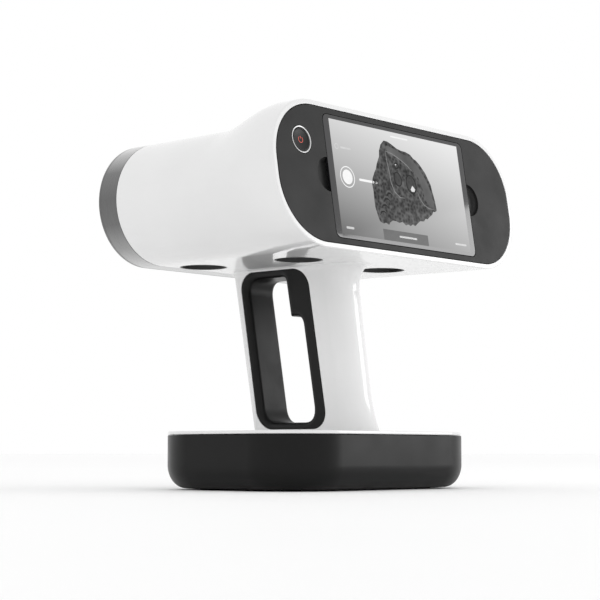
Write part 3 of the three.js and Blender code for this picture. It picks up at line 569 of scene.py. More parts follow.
def ring_aluminium():
    """Metal brushed along the band, with painted reflection: its sides are darker than its top and
    underside.
    """
    grain = (1, 60, 1)
    recipe = Recipe("ring_aluminium", grey(150), 0.3, metallic=1.0)
    # Painted reflection: the base colour follows how far the surface faces up or down, standing in for the
    # studio's reflections.
    normal = recipe.nodes.new("ShaderNodeSeparateXYZ")
    recipe.link(recipe.texture_place.outputs["Normal"], normal.inputs["Vector"])
    painted_reflection_mask = recipe.nodes.new("ShaderNodeMapRange")
    painted_reflection_mask.inputs["From Min"].default_value = -1
    recipe.link(normal.outputs["Z"], painted_reflection_mask.inputs["Value"])
    stops = [(position, grey(level)) for position, level in RING_PAINTED_REFLECTION_TONES]
    painted_reflection_tones = recipe.ramp(painted_reflection_mask.outputs["Result"], stops)
    streaks = recipe.nodes.new("ShaderNodeCombineColor")
    streak = recipe.spread(recipe.noise(60, grain), 0.9, 1.0)
    for channel in ("Red", "Green", "Blue"):
        recipe.link(streak, streaks.inputs[channel])
    mix = recipe.mixed(1.0, painted_reflection_tones, streaks.outputs["Color"])
    mix.blend_type = "MULTIPLY"
    recipe.link(mix.outputs["Result"], recipe.shader.inputs["Base Color"])
    recipe.uneven_gloss(60, 0.25, grain)
    return recipe.bumped(60, 0.00002, 0.3, grain, detail=2.0).material


def window_glass():
    recipe = Recipe("window_glass", grey(16), 0.05, coat=0.5)
    recipe.uneven_gloss(30, 0.5)
    recipe.uneven_colour(14, tone(18, 16, 22))
    return recipe.bumped(6, 0.00005, 0.1).material


def lens_glass():
    """Dark coated optics: the film turns from violet to green towards the rim."""
    recipe = Recipe("lens_glass", tone(12, 10, 22), 0.03, coat=1.0)
    recipe.uneven_gloss(60, 0.4)
    facing = recipe.nodes.new("ShaderNodeLayerWeight")
    facing.inputs["Blend"].default_value = 0.35
    film = recipe.ramp(facing.outputs["Facing"], [(0, tone(38, 22, 74)), (1, tone(16, 58, 40))])
    recipe.link(film, recipe.shader.inputs["Base Color"])
    return recipe.material


def circuit_board():
    """Green solder mask over a lattice of tracks."""
    recipe = Recipe("circuit_board", tone(16, 74, 40), 0.4, coat=0.4)
    tracks = recipe.nodes.new("ShaderNodeTexBrick")
    tracks.inputs["Scale"].default_value = 260
    tracks.inputs["Color1"].default_value = tone(14, 70, 38)
    tracks.inputs["Color2"].default_value = tone(22, 92, 52)
    tracks.inputs["Mortar"].default_value = tone(60, 128, 70)
    recipe.link(recipe.place, tracks.inputs["Vector"])
    recipe.link(tracks.outputs["Color"], recipe.shader.inputs["Base Color"])
    recipe.uneven_gloss(80, 0.2)
    return recipe.bumped(700, 0.00004, 0.3).material


def lit(name, recipe, colour_output):
    """Makes the recipe glow with the colour, under a gloss like the display's glass."""
    recipe.link(colour_output, recipe.shader.inputs["Emission Color"])
    recipe.shader.inputs["Emission Strength"].default_value = 1.0
    recipe.material.name = name
    return recipe.material


def screen_recipe():
    recipe = Recipe("screen", grey(6), 0.07)
    recipe.shader.inputs["Specular IOR Level"].default_value = 0.08
    recipe.uneven_gloss(35, 0.35)
    return recipe


def panel_coordinate(recipe, direction, low, high):
    """0 to 1 along a direction on the display, from low to high in metres off its middle."""
    dot = recipe.nodes.new("ShaderNodeVectorMath")
    dot.operation = "DOT_PRODUCT"
    dot.inputs[1].default_value = direction
    recipe.link(recipe.place, dot.inputs[0])
    middle = PANEL_CENTRE.dot(direction)
    scaled = recipe.nodes.new("ShaderNodeMapRange")
    scaled.inputs["From Min"].default_value = middle + low
    scaled.inputs["From Max"].default_value = middle + high
    recipe.link(dot.outputs["Value"], scaled.inputs["Value"])
    return scaled.outputs["Result"]


def screen_background():
    """A pale backdrop that darkens towards the lower left."""
    recipe = screen_recipe()
    columns = []
    for top, bottom in ((SCREEN_TOP_LEFT, SCREEN_LOW_LEFT), (SCREEN_TOP_RIGHT, SCREEN_LOW_RIGHT)):
        up = panel_coordinate(recipe, PANEL_UP, -SCREEN_HALF_HEIGHT, SCREEN_HALF_HEIGHT)
        columns.append(recipe.mixed(up, grey(bottom), grey(top)).outputs["Result"])
    across = panel_coordinate(recipe, PANEL_ACROSS, -SCREEN_HALF_WIDTH, SCREEN_HALF_WIDTH)
    blend = recipe.mixed(across, *columns)
    return lit("screen_background", recipe, blend.outputs["Result"])


def screen_tint(name, level, other, scale=400):
    """An even tone of the interface, with a little drift."""
    recipe = screen_recipe()
    mix = recipe.mixed(recipe.spread(recipe.noise(scale), 0, 1), grey(level), grey(other))
    return lit(name, recipe, mix.outputs["Result"])


def scanned_surface():
    """The preview's rough cast surface: dark pits over a mottled grey."""
    recipe = screen_recipe()
    pits = recipe.nodes.new("ShaderNodeTexVoronoi")
    pits.inputs["Scale"].default_value = 420
    recipe.link(recipe.place, pits.inputs["Vector"])
    mottle = recipe.noise(240, detail=6.0)
    product = recipe.nodes.new("ShaderNodeMath")
    product.operation = "MULTIPLY"
    recipe.link(recipe.spread(mottle, 0.25, 1.0), product.inputs[0])
    recipe.link(pits.outputs["Distance"], product.inputs[1])
    cast = recipe.ramp(product.outputs["Value"], [(0, grey(18)), (0.62, grey(100))])
    return lit("scanned_surface", recipe, cast)


def indicator_red():
    recipe = Recipe("indicator_red", tone(110, 40, 30), 0.3)
    drift = recipe.spread(recipe.noise(900), 0, 1)
    mix = recipe.mixed(drift, tone(196, 74, 58), tone(176, 66, 52))
    return lit("indicator_red", recipe, mix.outputs["Result"])


def finishes():
    return {
        "shell_white": plastic("shell_white", 233, 0.16, 260, 0.00002, coat=0.5),
        "grip_black": plastic("grip_black", 12, 0.38, 2600, 0.00003, specular=0.2),
        "base_black": plastic("base_black", 12, 0.34, 2200, 0.00003, specular=0.2),
        "bezel_grey": plastic("bezel_grey", 27, 0.46, 2400, 0.00003, specular=0.26),
        "button_black": plastic("button_black", 16, 0.34, 400, 0.00001, specular=0.24),
        "inner_black": plastic("inner_black", 30, 0.55, 1800, 0.00004),
        "rubber": plastic("rubber", 28, 0.85, 1500, 0.00008),
        "diffuser": plastic("diffuser", 236, 0.38, 1200, 0.0001, coat=0.2),
        "cell_wrap": plastic("cell_wrap", 92, 0.3, 300, 0.00004, coat=0.4),
        "ring_aluminium": ring_aluminium(),
        "plain_aluminium": metal("plain_aluminium", grey(204), 0.36, (1, 12, 1), 120),
        "steel": metal("steel", grey(178), 0.32),
        "brass": metal("brass", tone(214, 176, 92), 0.26),
        "window_glass": window_glass(),
        "lens_glass": lens_glass(),
        "circuit_board": circuit_board(),
        "screen": screen_background(),
    }


FINISHES = finishes()


# ---- Head -------------------------------------------------------------------------------------
def head_section(y, inset):
    """One section of the head. Behind the flare it leans until it lies in the display's plane."""
    share = min(1, max(0, (FLARE_START - y) / (FLARE_START - FLARE_END)))
    flare = share * share * (3 - 2 * share)
    half_width = HALF_WIDTH + (PANEL_HALF_WIDTH - HALF_WIDTH) * flare
    half_height = HALF_HEIGHT + (REAR_HALF_HEIGHT - HALF_HEIGHT) * flare
    lean = math.tan(PANEL_TILT) * min(1, max(0, y / PANEL_CENTRE.y))
    outline = rounded(half_width - inset, half_height - inset, HEAD_CORNER - inset)
    middle = UNDERSIDE + half_height
    return [Vector((x, y + up * lean, middle + up)) for x, up in outline]


def head_profile():
    """The wall's section as (y, inset) points, with a fuller rounding on the display's lip."""
    front, rear = SHELL_HIGH.y, PANEL_CENTRE.y
    lip = 0.0012
    outer_lip = filleted([(front, 0), (rear, 0), (rear, WALL)], lip, closed=False, steps=5)[1:-1]
    rest = [(front, WALL), (front, 0)]
    inner_lip = filleted([(rear, lip), (rear, WALL), (front, WALL)], EDGE, closed=False)[1:-1]
    corners = filleted([(rear, WALL), *rest, (rear, 0)], EDGE, closed=False)[1:-1]
    return subdivided(outer_lip + inner_lip + corners, 0.005)


def head_shell():
    rings = [head_section(y, inset) for y, inset in head_profile()]
    shell = loft("fine_head_shell", rings, closed=True)
    tools = []
    for centre in vent_centres().values():
        opening = circle(VENT_RADIUS, (centre.x, centre.y))
        tools.append(plate("tool", opening, UNDERSIDE - 0.01, UNDERSIDE + 0.01))
    neck = rounded(*NECK_HALF, NECK_CORNER, 6, (0, NECK_Y))
    tools.append(plate("tool", neck, UNDERSIDE - 0.01, UNDERSIDE + 0.01))
    carved(shell, *tools)
    at_underside = lambda e: all(abs(v.co.z - UNDERSIDE) < WELD for v in e.verts)
    show(edges_rounded(shell, 0.0005, at_underside), "shell_white", "head_shell")


def vent_centres():
    return {name: middle_of(name) for name in at_corners("vent_grille", ("rear", "front"))}


def vent_grilles():
    """Shallow cups with three slots through the floor."""
    radius = VENT_RADIUS - GAP
    corners = [
        (0, VENT_FLOOR), (radius - 0.0014, VENT_FLOOR), (radius - 0.001, 0), (radius, 0),
        (radius, 0.0038), (radius + 0.0008, 0.0038), (radius + 0.0008, 0.0058), (0, 0.0058),
    ]
    for name, centre in vent_centres().items():
        place = Matrix.Translation((centre.x, centre.y, UNDERSIDE))
        cup = turned(f"fine_{name}", filleted(corners, EDGE, closed=False), place)
        slots = []
        for x in (-0.0065, 0, 0.0065):
            slot = rounded(0.0015, 0.0095 - abs(x) / 2, 0.0014, 6, (centre.x + x, centre.y))
            slots.append(plate("tool", slot, UNDERSIDE + 0.001, UNDERSIDE + 0.01))
        carved(cup, *slots)
        at_floor = lambda e: all(abs(v.co.z - UNDERSIDE - VENT_FLOOR) < WELD for v in e.verts)
        show(edges_rounded(cup, 0.0002, at_floor), "inner_black", name)


def fans():
    for side in ("left", "right"):
        show(refined(f"fan_frame_{side}"), "inner_black", f"fan_frame_{side}")
        show(fan_rotor(side), "bezel_grey", f"fan_rotor_{side}")


def fan_rotor(side):
    """A domed hub with seven twisted blades."""
    node = f"fan_rotor_{side}"
    centre = middle_of(node)
    corners = [(0, -0.0025), (0.005, -0.0025), (0.005, 0.0025), (0, 0.0025)]
    place = Matrix.Translation(centre)
    hub = turned(f"fine_{node}", filleted(corners, 0.0008, closed=False), place, steps=40)
    blades = []
    for number in range(7):
        rings = []
        for step in range(9):
            reach = 0.0042 + 0.0074 * step / 8
            pitch = math.radians(46 - 2.4 * step)
            chord = rounded(0.00035, 0.0022, 0.0003, 3)
            across = Matrix.Rotation(number / 7 * math.tau, 4, "Z") @ Matrix.Rotation(pitch, 4, "X")
            rings.append([across @ Vector((reach, x, z)) for x, z in chord])
        blades.append(loft("blade", rings, place=place))
    return joined(hub, *blades)


# ---- Display ------------------------------------------------------------------------------------
def rear_bezel():
    """The dark panel: a face plate and a body behind it, with the glass pocket and two scoops."""
    face, body = BEZEL_INSET, BEZEL_INSET + 0.001
    profile = [(face + EDGE, 0), (face + EDGE * 0.3, -EDGE * 0.3), (face, -EDGE)]
    profile += [(face, -BEZEL_FACE), (body, -BEZEL_FACE - 0.0004), (body, -BEZEL_THICK)]
    rings = []
    for inset, z in profile:
        outline = rounded(PANEL_HALF_WIDTH - inset, PANEL_HALF_HEIGHT - inset, HEAD_CORNER - inset)
        rings.append([(*p, z) for p in outline])
    bezel = loft("fine_rear_bezel", rings, place=PANEL)
    pocket = rounded(GLASS_HALF_WIDTH + GAP, GLASS_HALF_HEIGHT + GAP, GLASS_CORNER, 10)
    opening = rounded(SCREEN_HALF_WIDTH + 0.002, SCREEN_HALF_HEIGHT + 0.0004, 0.0005, 3)
    hole = circle(BUTTON_RING_RADIUS + GAP, (BUTTON_U, BUTTON_V))
    tools = [
        plate("tool", pocket, -GLASS_THICK - GAP, 0.01, place=PANEL),
        plate("tool", opening, -0.01, 0.01, place=PANEL),
        plate("tool", hole, -0.01, 0.01, place=PANEL),
        *(scoop_tool(side) for side in (-1, 1)),
    ]
    carved(bezel, *tools)
    facing = lambda e: all(abs((v.co - PANEL_CENTRE).dot(PANEL_OUT)) < WELD for v in e.verts)
    show(edges_rounded(bezel, 0.00025, facing), "bezel_grey", "rear_bezel")


def scoop_tool(side):
    """A dish with a rounded floor."""
    corners = [(0, -SCOOP_DEPTH), (SCOOP_RADIUS, -SCOOP_DEPTH), (SCOOP_RADIUS, 0.01), (0, 0.01)]
    place = PANEL @ Matrix.Translation((side * GLASS_HALF_WIDTH, 0, 0))
    return turned("tool", filleted(corners, 0.0029, closed=False, steps=10), place)


def display_glass():
    """The glass, whose lit middle is one more finish on the same surface."""
    outline = rounded(GLASS_HALF_WIDTH, GLASS_HALF_HEIGHT, GLASS_CORNER, 12)
    glass = plate("fine_display_glass", outline, -GLASS_THICK, 0, 0.0002)
    bm = bmesh.new()
    bm.from_mesh(glass.data)
    for normal, reach in (((1, 0, 0), SCREEN_HALF_WIDTH), ((0, 1, 0), SCREEN_HALF_HEIGHT)):
        for sign in (-1, 1):
            top = [f for f in bm.faces if f.normal.z > 0.9]
            geometry = top + list({e for f in top for e in f.edges} | {v for f in top for v in f.verts})
            point = Vector(normal) * reach * sign
            bmesh.ops.bisect_plane(bm, geom=geometry, plane_co=point, plane_no=normal)
    for face in bm.faces:
        middle = face.calc_center_median()
        within = abs(middle.x) < SCREEN_HALF_WIDTH and abs(middle.y) < SCREEN_HALF_HEIGHT
        face.material_index = 1 if within and face.normal.z > 0.9 else 0
    bmesh.ops.transform(bm, matrix=PANEL, verts=bm.verts)
    bm.to_mesh(glass.data)
    bm.free()
    glass.data.materials.append(FINISHES["window_glass"])
    glass.data.materials.append(FINISHES["screen"])
    show(glass, "window_glass", "display_glass")


def interface():
    """What the display shows: a preview of a scanned part, a round button, captions as bars."""
    pale = screen_tint("interface_pale", 244, 250)
    faint = screen_tint("interface_faint", 206, 216)
    upper = screen_tint("interface_upper", 240, 246)
    tab = screen_tint("interface_tab", 96, 102)
    shapes = [
        ("record_disc", circle(0.0045, (-0.0516, 0.0005)), (), pale),
        ("record_ring", circle(0.0066, (-0.0516, 0.0005)), [circle(0.006, (-0.0516, 0.0005))], pale),
        ("tab", rounded(0.0218, 0.0034, 0.0002, 2, (-0.0023, -0.0318)), (), tab),
        ("tab_caption", rounded(0.0085, 0.0006, 0.0005, 4, (-0.0003, -0.0318)), (), pale),
        ("record_caption", rounded(0.0085, 0.00075, 0.0007, 4, (-0.0325, 0.0002)), (), pale),
        ("corner_caption", rounded(0.0035, 0.0007, 0.0006, 4, (-0.0548, -0.031)), (), faint),
        ("far_caption", rounded(0.0058, 0.0006, 0.0005, 4, (0.0533, -0.031)), (), faint),
        ("title_caption", rounded(0.0048, 0.0006, 0.0005, 4, (-0.0503, 0.0184)), (), faint),
        ("top_caption", rounded(0.0085, 0.0005, 0.0004, 4, (0.003, 0.0323)), (), upper),
        ("title_icon", circle(0.0018, (-0.0584, 0.0186)), [circle(0.0013, (-0.0584, 0.0186))], faint),
    ]
    for name, outline, holes, material in shapes:
        on_screen(name, outline, holes, material)
    preview()


def on_screen(name, outline, holes, material, level=0.00002):
    piece = plate(f"screen_{name}", outline, 0.000002, level, 0.000004, holes, place=PANEL)
    piece.data.materials.append(material)
    piece.data.shade_flat()
    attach(piece, "scanner")


def preview():
    """A scanned part, drawn flat: a ragged casting with two bores and a smooth flank."""
    body = millimetres(PREVIEW_OUTLINE)
    on_screen("preview", filleted(body, 0.0012, steps=4), (), scanned_surface())
    flow = screen_tint("scanned_flank", 84, 112, scale=60)
    flank = filleted(millimetres(PREVIEW_FLANK), 0.002, steps=5)
    on_screen("preview_flank", flank, (), flow, 0.00003)
    dark = screen_tint("scanned_rim", 26, 44)
    ridge = screen_tint("scanned_ridge", 124, 148)
    hollow = screen_tint("scanned_bore", 56, 78)
    bright = screen_tint("scanned_opening", 216, 232)
    for number, line in enumerate(PREVIEW_RIDGES):
        on_screen(f"preview_ridge_{number}", stroke(line, 0.0003), (), ridge, 0.00004)
    for number, line in enumerate(PREVIEW_RIBS):
        on_screen(f"preview_rib_{number}", stroke(line, 0.0006), (), flow, 0.00004)
        shade = [(x + 0.5, y - 1.3) for x, y in line]
        on_screen(f"preview_rib_shade_{number}", stroke(shade, 0.0005), (), dark, 0.00004)
    for number, (centre, radii) in enumerate(PREVIEW_BORES):
        bore = oval(centre, radii, 0.25)
        on_screen(f"preview_bore_rim_{number}", offset(bore, 0.0008), (), dark, 0.00005)
        on_screen(f"preview_bore_{number}", bore, (), hollow, 0.00006)
    on_screen("preview_opening", millimetres(PREVIEW_OPENING), (), bright, 0.00007)
    on_screen("preview_glint", oval((-3.9, 14.2), (0.7, 0.35), 0.2), (), bright, 0.00007)


def millimetres(corners):
    """Counterclockwise points in metres from clockwise ones in millimetres."""
    return [Vector(corner) * 0.001 for corner in reversed(corners)]


def stroke(line, half):
    """The outline of a narrow stroke along a line in millimetres, tapered at both ends."""
    points = [Vector(p) * 0.001 for p in line]
    last = len(points) - 1
    left, right = [], []
    for i, point in enumerate(points):
        along = (points[min(i + 1, last)] - points[max(i - 1, 0)]).normalized()
        side = Vector((along.y, -along.x)) * half * (0.4 if i in (0, last) else 1)
        right.append(point + side)
        left.append(point - side)
    return right + left[::-1]


def oval(centre, radii, lean):
    """An ellipse in millimetres on the display, leaning by an angle."""
    turn = Matrix.Rotation(lean, 2)
    middle = Vector(centre) * 0.001
    return [turn @ Vector((p.x * radii[0], p.y * radii[1])) * 0.001 + middle for p in circle(1)]


def power_button():
    place = PANEL @ Matrix.Translation((BUTTON_U, BUTTON_V, 0))
    inner, outer = BUTTON_RADIUS + GAP, BUTTON_RING_RADIUS
    corners = [(inner, -0.005), (outer, -0.005), (outer, 0.0002), (inner, -0.0001)]
    ring = turned("fine_power_button_ring", filleted(corners, 0.0003, steps=5), place, closed=True)
    show(ring, "plain_aluminium", "power_button_ring")
    rim, floor = -0.0002, -0.0042
    top = [(BUTTON_RADIUS - 0.0008, rim)]
    radii = [BUTTON_RADIUS * 0.86 * (1 - i / 8) for i in range(9)]
    dish = [(radius, button_height(radius)) for radius in radii]
    corners = [(0, -0.0067), (0.0025, -0.0067), (0.0025, floor)]
    corners += [(BUTTON_RADIUS, floor), (BUTTON_RADIUS, rim)]
    profile = filleted(corners + top + dish[:1], 0.00025, closed=False) + dish[1:]
    show(turned("fine_power_button", profile, place), "button_black", "power_button")
    power_symbol(place)
    show(refined("power_switch"), "inner_black", "power_switch")


def button_height(radius):
    """The button's dished face."""
    return -0.0009 + 0.0006 * (radius / BUTTON_RADIUS) ** 2


def power_symbol(place):
    """A broken circle and a bar, inlaid in the button."""
    radius, half = 0.0018, 0.0002
    arc = [math.radians(angle) for angle in range(125, 416, 10)]
    ring = [Vector((radius * math.cos(a), radius * math.sin(a))) for a in arc]
    bar = [Vector((0, radius * (0.35 + 0.1 * i))) for i in range(9)]
    red = indicator_red()
    for name, line in (("arc", ring), ("bar", bar)):
        rings = []
        for i, point in enumerate(line):
            along = (line[min(i + 1, len(line) - 1)] - line[max(i - 1, 0)]).normalized()
            side = Vector((along.y, -along.x)) * half
            height = button_height(point.length)
            low, high = height - 0.0001, height + 0.00005
            section = [(point + side, low), (point + side, high), (point - side, high), (point - side, low)]
            rings.append([Vector((*p, z)) for p, z in section])
        piece = loft(f"power_symbol_{name}", rings, place=place)
        piece.data.materials.append(red)
        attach(piece, "power_button")


# ---- Front --------------------------------------------------------------------------------------
def pill(inset):
    return rounded(HALF_WIDTH - inset, HALF_HEIGHT - inset, HEAD_CORNER - inset)


def front_ring():
    rear, front = RING_LOW.y, RING_HIGH.y
    groove = 0.0014
    corners = [
        (0, rear), (0, front - groove - 0.0005), (0.0003, front - groove - 0.0003),
        (0.0003, front - groove), (0, front - groove + 0.0002), (0, front),
        (RING_WALL, front), (RING_WALL, rear),
    ]
    profile = filleted(corners, EDGE)
    rings = [[(*p, y) for p in pill(inset)] for inset, y in profile]
    show(loft("fine_front_ring", rings, closed=True, place=UPRIGHT), "ring_aluminium", "front_ring")


def optics():
    """(housing node, lens node) pairs."""
    return [
        ("scan_camera_left", "scan_lens_left"),
        ("scan_camera_right", "scan_lens_right"),
        ("texture_camera", "texture_lens"),
        ("pattern_projector", "projector_lens"),
    ]


def barrel_radius(lens):
    return half_across(lens) + GAP + 0.002


def front_window():
    holes = []
    for _, lens in optics():
        holes.append(circle(barrel_radius(lens) + GAP, (middle_of(lens).x, 0)))
    for side in ("left", "right"):
        x = middle_of(f"flash_diffuser_{side}").x
        holes.append(rounded(DIFFUSER_HALF[0] + GAP, DIFFUSER_HALF[1] + GAP, 0.002, 8, (x, 0)))
        diffuser = rounded(*DIFFUSER_HALF, 0.002, 8, (x, 0))
        rear, front = WINDOW_REAR, WINDOW_FRONT - 0.0004
        pad = plate(f"fine_flash_diffuser_{side}", diffuser, rear, front, 0.0005, place=UPRIGHT)
        show(pad, "diffuser", f"flash_diffuser_{side}")
    pane = plate(
        "fine_front_window", pill(RING_WALL + GAP), WINDOW_REAR, WINDOW_FRONT, 0.0004, holes, UPRIGHT
    )
    show(pane, "window_glass", "front_window")


def cameras():
    for node, lens in optics():
        x = middle_of(node).x
        low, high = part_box(node)
        radius = barrel_radius(lens)
        mouth, floor = high.y, high.y - 0.003
        half = half_across(node)
        back = FRAME_REAR - GAP
        outline = rounded(half, half, 0.002, 6, (x, 0))
        housing = plate(f"fine_{node}", outline, low.y, back, 0.0008, place=UPRIGHT)
        corners = [
            (0, back - 0.002), (radius, back - 0.002), (radius, mouth), (radius - 0.0009, mouth),
            (radius - 0.0012, mouth - 0.0009), (radius - 0.002, mouth - 0.0012),
            (radius - 0.002, floor), (0, floor),
        ]
        place = UPRIGHT @ Matrix.Translation((x, 0, 0))
        barrel = turned("tool", filleted(corners, 0.0002, closed=False), place)
        show(joined(housing, barrel), "inner_black", node)
        show(front_lens(lens), "lens_glass", lens)


def front_lens(lens):
    low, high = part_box(lens)
    radius = half_across(lens)
    rise = high.y - low.y - 0.0009
    dome = [i / 10 * math.pi / 2 for i in range(11)]
    crown = [(radius * math.cos(a), low.y + 0.0009 + rise * math.sin(a)) for a in dome]
    crown[-1] = (0, high.y)
    place = UPRIGHT @ Matrix.Translation((middle_of(lens).x, 0, 0))
    return turned(f"fine_{lens}", [(0, low.y), (radius, low.y), *crown], place)


def inside_head():
    for node in ("optical_frame", "chassis_plate", "heat_sink", "display_bracket"):
        show(refined(node, 0.0002), "plain_aluminium", node)
    for node in ("flash_board", "main_board", "display_board"):
        show(refined(node, 0.0002), "circuit_board", node)
    show(refined("display_panel"), "screen", "display_panel")


# ---- Handle -------------------------------------------------------------------------------------
def line_at(line, height):
    y, z, slope = line
    return y + slope * (height - z)


def fillet_at(height, radius):
    rise = max(0, height - (HANDLE_TOP - radius))
    return radius - math.sqrt(max(0, radius * radius - rise * rise))


def handle_section(height, back_steps=40, corner_steps=8):
    """Two front corners, then a half ellipse at the back."""
    side = HANDLE_HALF + fillet_at(height, SIDE_FILLET) * 0.8
    front = line_at(HANDLE_FRONT, height)
    reach = max(0, FOOT_FLARE_TOP - height) / (FOOT_FLARE_TOP - HANDLE_BASE)
    back = HANDLE_HALF + fillet_at(height, TOP_FILLET) * 0.85 + FOOT_FLARE * reach * reach
    back_centre = line_at(HANDLE_REAR, height) + HANDLE_HALF
    points = []
    for i in range(back_steps + 1):
        angle = math.pi * (1 + i / back_steps)
        points.append((side * math.cos(angle), back_centre + back * math.sin(angle), height))
    for turn, sign in ((0, 1), (1, -1)):
        for i in range(corner_steps + 1):
            angle = (turn + i / corner_steps) * math.pi / 2
            x = sign * (side - FRONT_RADIUS) + FRONT_RADIUS * math.cos(angle)
            points.append((x, front - FRONT_RADIUS + FRONT_RADIUS * math.sin(angle), height))
    return [Vector(p) for p in points]


def handle_heights():
    foot = [HANDLE_BASE + (FOOT_FLARE_TOP - HANDLE_BASE) * i / 8 for i in range(9)]
    start = HANDLE_TOP - TOP_FILLET
    middle = [FOOT_FLARE_TOP + (start - FOOT_FLARE_TOP) * i / 4 for i in range(1, 5)]
    turns = [i / 16 * math.pi / 2 for i in range(1, 17)]
    return foot + middle + [start + TOP_FILLET * math.sin(a) for a in turns]


def loop_lean(height):
    return LOOP_Y + LOOP_LEAN * (height - LOOP_Z)


def loop_outline(grow=0.0):
    """The finger loop's outer outline in (y, z), leaning forward."""
    half = (LOOP_HALF[0] + grow, LOOP_HALF[1] + grow)
    outline = rounded(*half, LOOP_CORNER + grow, 14)
    return [Vector((loop_lean(LOOP_Z + up) + y, LOOP_Z + up)) for y, up in outline]


def housing_face(height):
    y, z = HOUSING_FRONT
    return y + HOUSING_SLOPE * (height - z)


def hole_outline():
    """The finger hole. The trigger housing takes up its upper rear."""
    bottom, top = LOOP_Z - HOLE_HALF[1], LOOP_Z + HOLE_HALF[1]
    housing = HOUSING_FRONT[1]
    front = lambda z: loop_lean(z) + HOLE_SHIFT + HOLE_HALF[0]
    rear = lambda z: loop_lean(z) + HOLE_SHIFT - HOLE_HALF[0]
    corners = [(front(bottom), bottom), (front(top), top), (housing_face(top), top)]
    corners += [(housing_face(housing), housing), (rear(housing), housing), (rear(bottom), bottom)]
    radii = [HOLE_LOWER_FRONT_CORNER, HOLE_CORNER, HOUSING_TOP_FILLET, 0, HOUSING_FILLET, HOLE_CORNER]
    return filleted(corners, radii, steps=14)


def duct():
    """The hollow in the handle's rear column, open at both ends."""
    rings = []
    for height in (HANDLE_BASE - 0.002, HANDLE_TOP + 0.002):
        rear = line_at(HANDLE_REAR, height) + DUCT_WALL
        front = loop_lean(height) - LOOP_HALF[0] - DUCT_WALL
        outline = rounded(HANDLE_HALF - DUCT_WALL, (front - rear) / 2, 0.006, 6, (0, (front + rear) / 2))
        rings.append([(*p, height) for p in outline])
    return loft("tool", rings)


def handle_shell():
    shell = loft("fine_handle_shell", [handle_section(z) for z in handle_heights()])
    window = plate("tool", loop_outline(GAP), -0.03, 0.03, place=SIDEWAYS)
    carved(shell, window, duct())
    beside = lambda e: all(HANDLE_HALF - WELD < abs(v.co.x) and v.co.y > -0.03 for v in e.verts)
    show(edges_rounded(shell, 0.0004, beside), "shell_white", "handle_shell")


def trigger_place():
    lean = math.atan(LOOP_LEAN)
    turn = Matrix.Rotation(-lean, 4, "X") @ Matrix.Rotation(-math.pi / 2, 4, "X")
    return Matrix.Translation((0, housing_face(TRIGGER_Z), TRIGGER_Z)) @ turn


def grip_loop():
    """The black lining of the finger hole, rounded over into it, with the trigger's pocket."""
    place = trigger_place()
    mouth = rounded(TRIGGER_HALF[0] + GAP, TRIGGER_HALF[1] + GAP, 0.002, 8)
    chamber = rounded(TRIGGER_HALF[0] + 0.0016, TRIGGER_HALF[1] + 0.0016, 0.001, 4)
    band = plate(
        "fine_grip_loop", loop_outline(), -LOOP_FACE, LOOP_FACE, LOOP_RIM,
        [hole_outline()], SIDEWAYS, LOOP_EDGE,
    )
    carved(
        band,
        plate("tool", mouth, -0.0105, 0.01, place=place),
        plate("tool", chamber, -0.0105, -0.003, place=place),
    )
    show(band, "grip_black", "grip_loop")
    show(trigger(place), "button_black", "trigger")
    show(refined("trigger_switch"), "inner_black", "trigger_switch")


def trigger(place):
    """A finger button, dished in front, with a flange behind the housing's lip."""
    body = plate("fine_trigger", rounded(*TRIGGER_HALF, 0.0018, 8), -0.0053, 0.0022, 0.0006, place=place)
    flange = rounded(TRIGGER_HALF[0] + 0.0011, TRIGGER_HALF[1] + 0.0011, 0.0008, 4)
    joined(body, plate("tool", flange, -0.0052, -0.0036, 0.0002, place=place))
    finger = [(0, -0.02), (0.018, -0.02), (0.018, 0.02), (0, 0.02)]
    across = place @ Matrix.Translation((0, 0, 0.019)) @ Matrix.Rotation(math.pi / 2, 4, "Y")
    carved(body, turned("tool", finger, across, steps=160))
    return edges_rounded(body, 0.0003)


def inside_handle():
    show(refined("handle_spine", 0.0003), "steel", "handle_spine")
    show(refined("power_cable", 0.0001), "rubber", "power_cable")


# ---- Base ---------------------------------------------------------------------------------------
def foot_plate():
    low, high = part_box("foot_plate")
    outline = rounded(*BASE_HALF, BASE_CORNER, centre=(0, BASE_MIDDLE.y))
    show(plate("fine_foot_plate", outline, low.z, high.z, 0.0005), "shell_white", "foot_plate")


def casing_ring(height, inset, bottom):
    drop = min(1, max(0, bottom + CASING_ROUND - height) / CASING_ROUND)
    tuck = CASING_TUCK * (1 - math.sqrt(1 - drop * drop))
    draw = inset + tuck
    half = (BASE_HALF[0] - draw, BASE_HALF[1] - draw)
    outline = rounded(*half, BASE_CORNER - draw, centre=(0, BASE_MIDDLE.y))
    return [(*p, height) for p in outline]


def casing_levels(bottom):
    """Heights up the rounded lower edge."""
    return [bottom + CASING_ROUND * (1 - math.cos(i / 20 * math.pi / 2)) for i in range(21)]


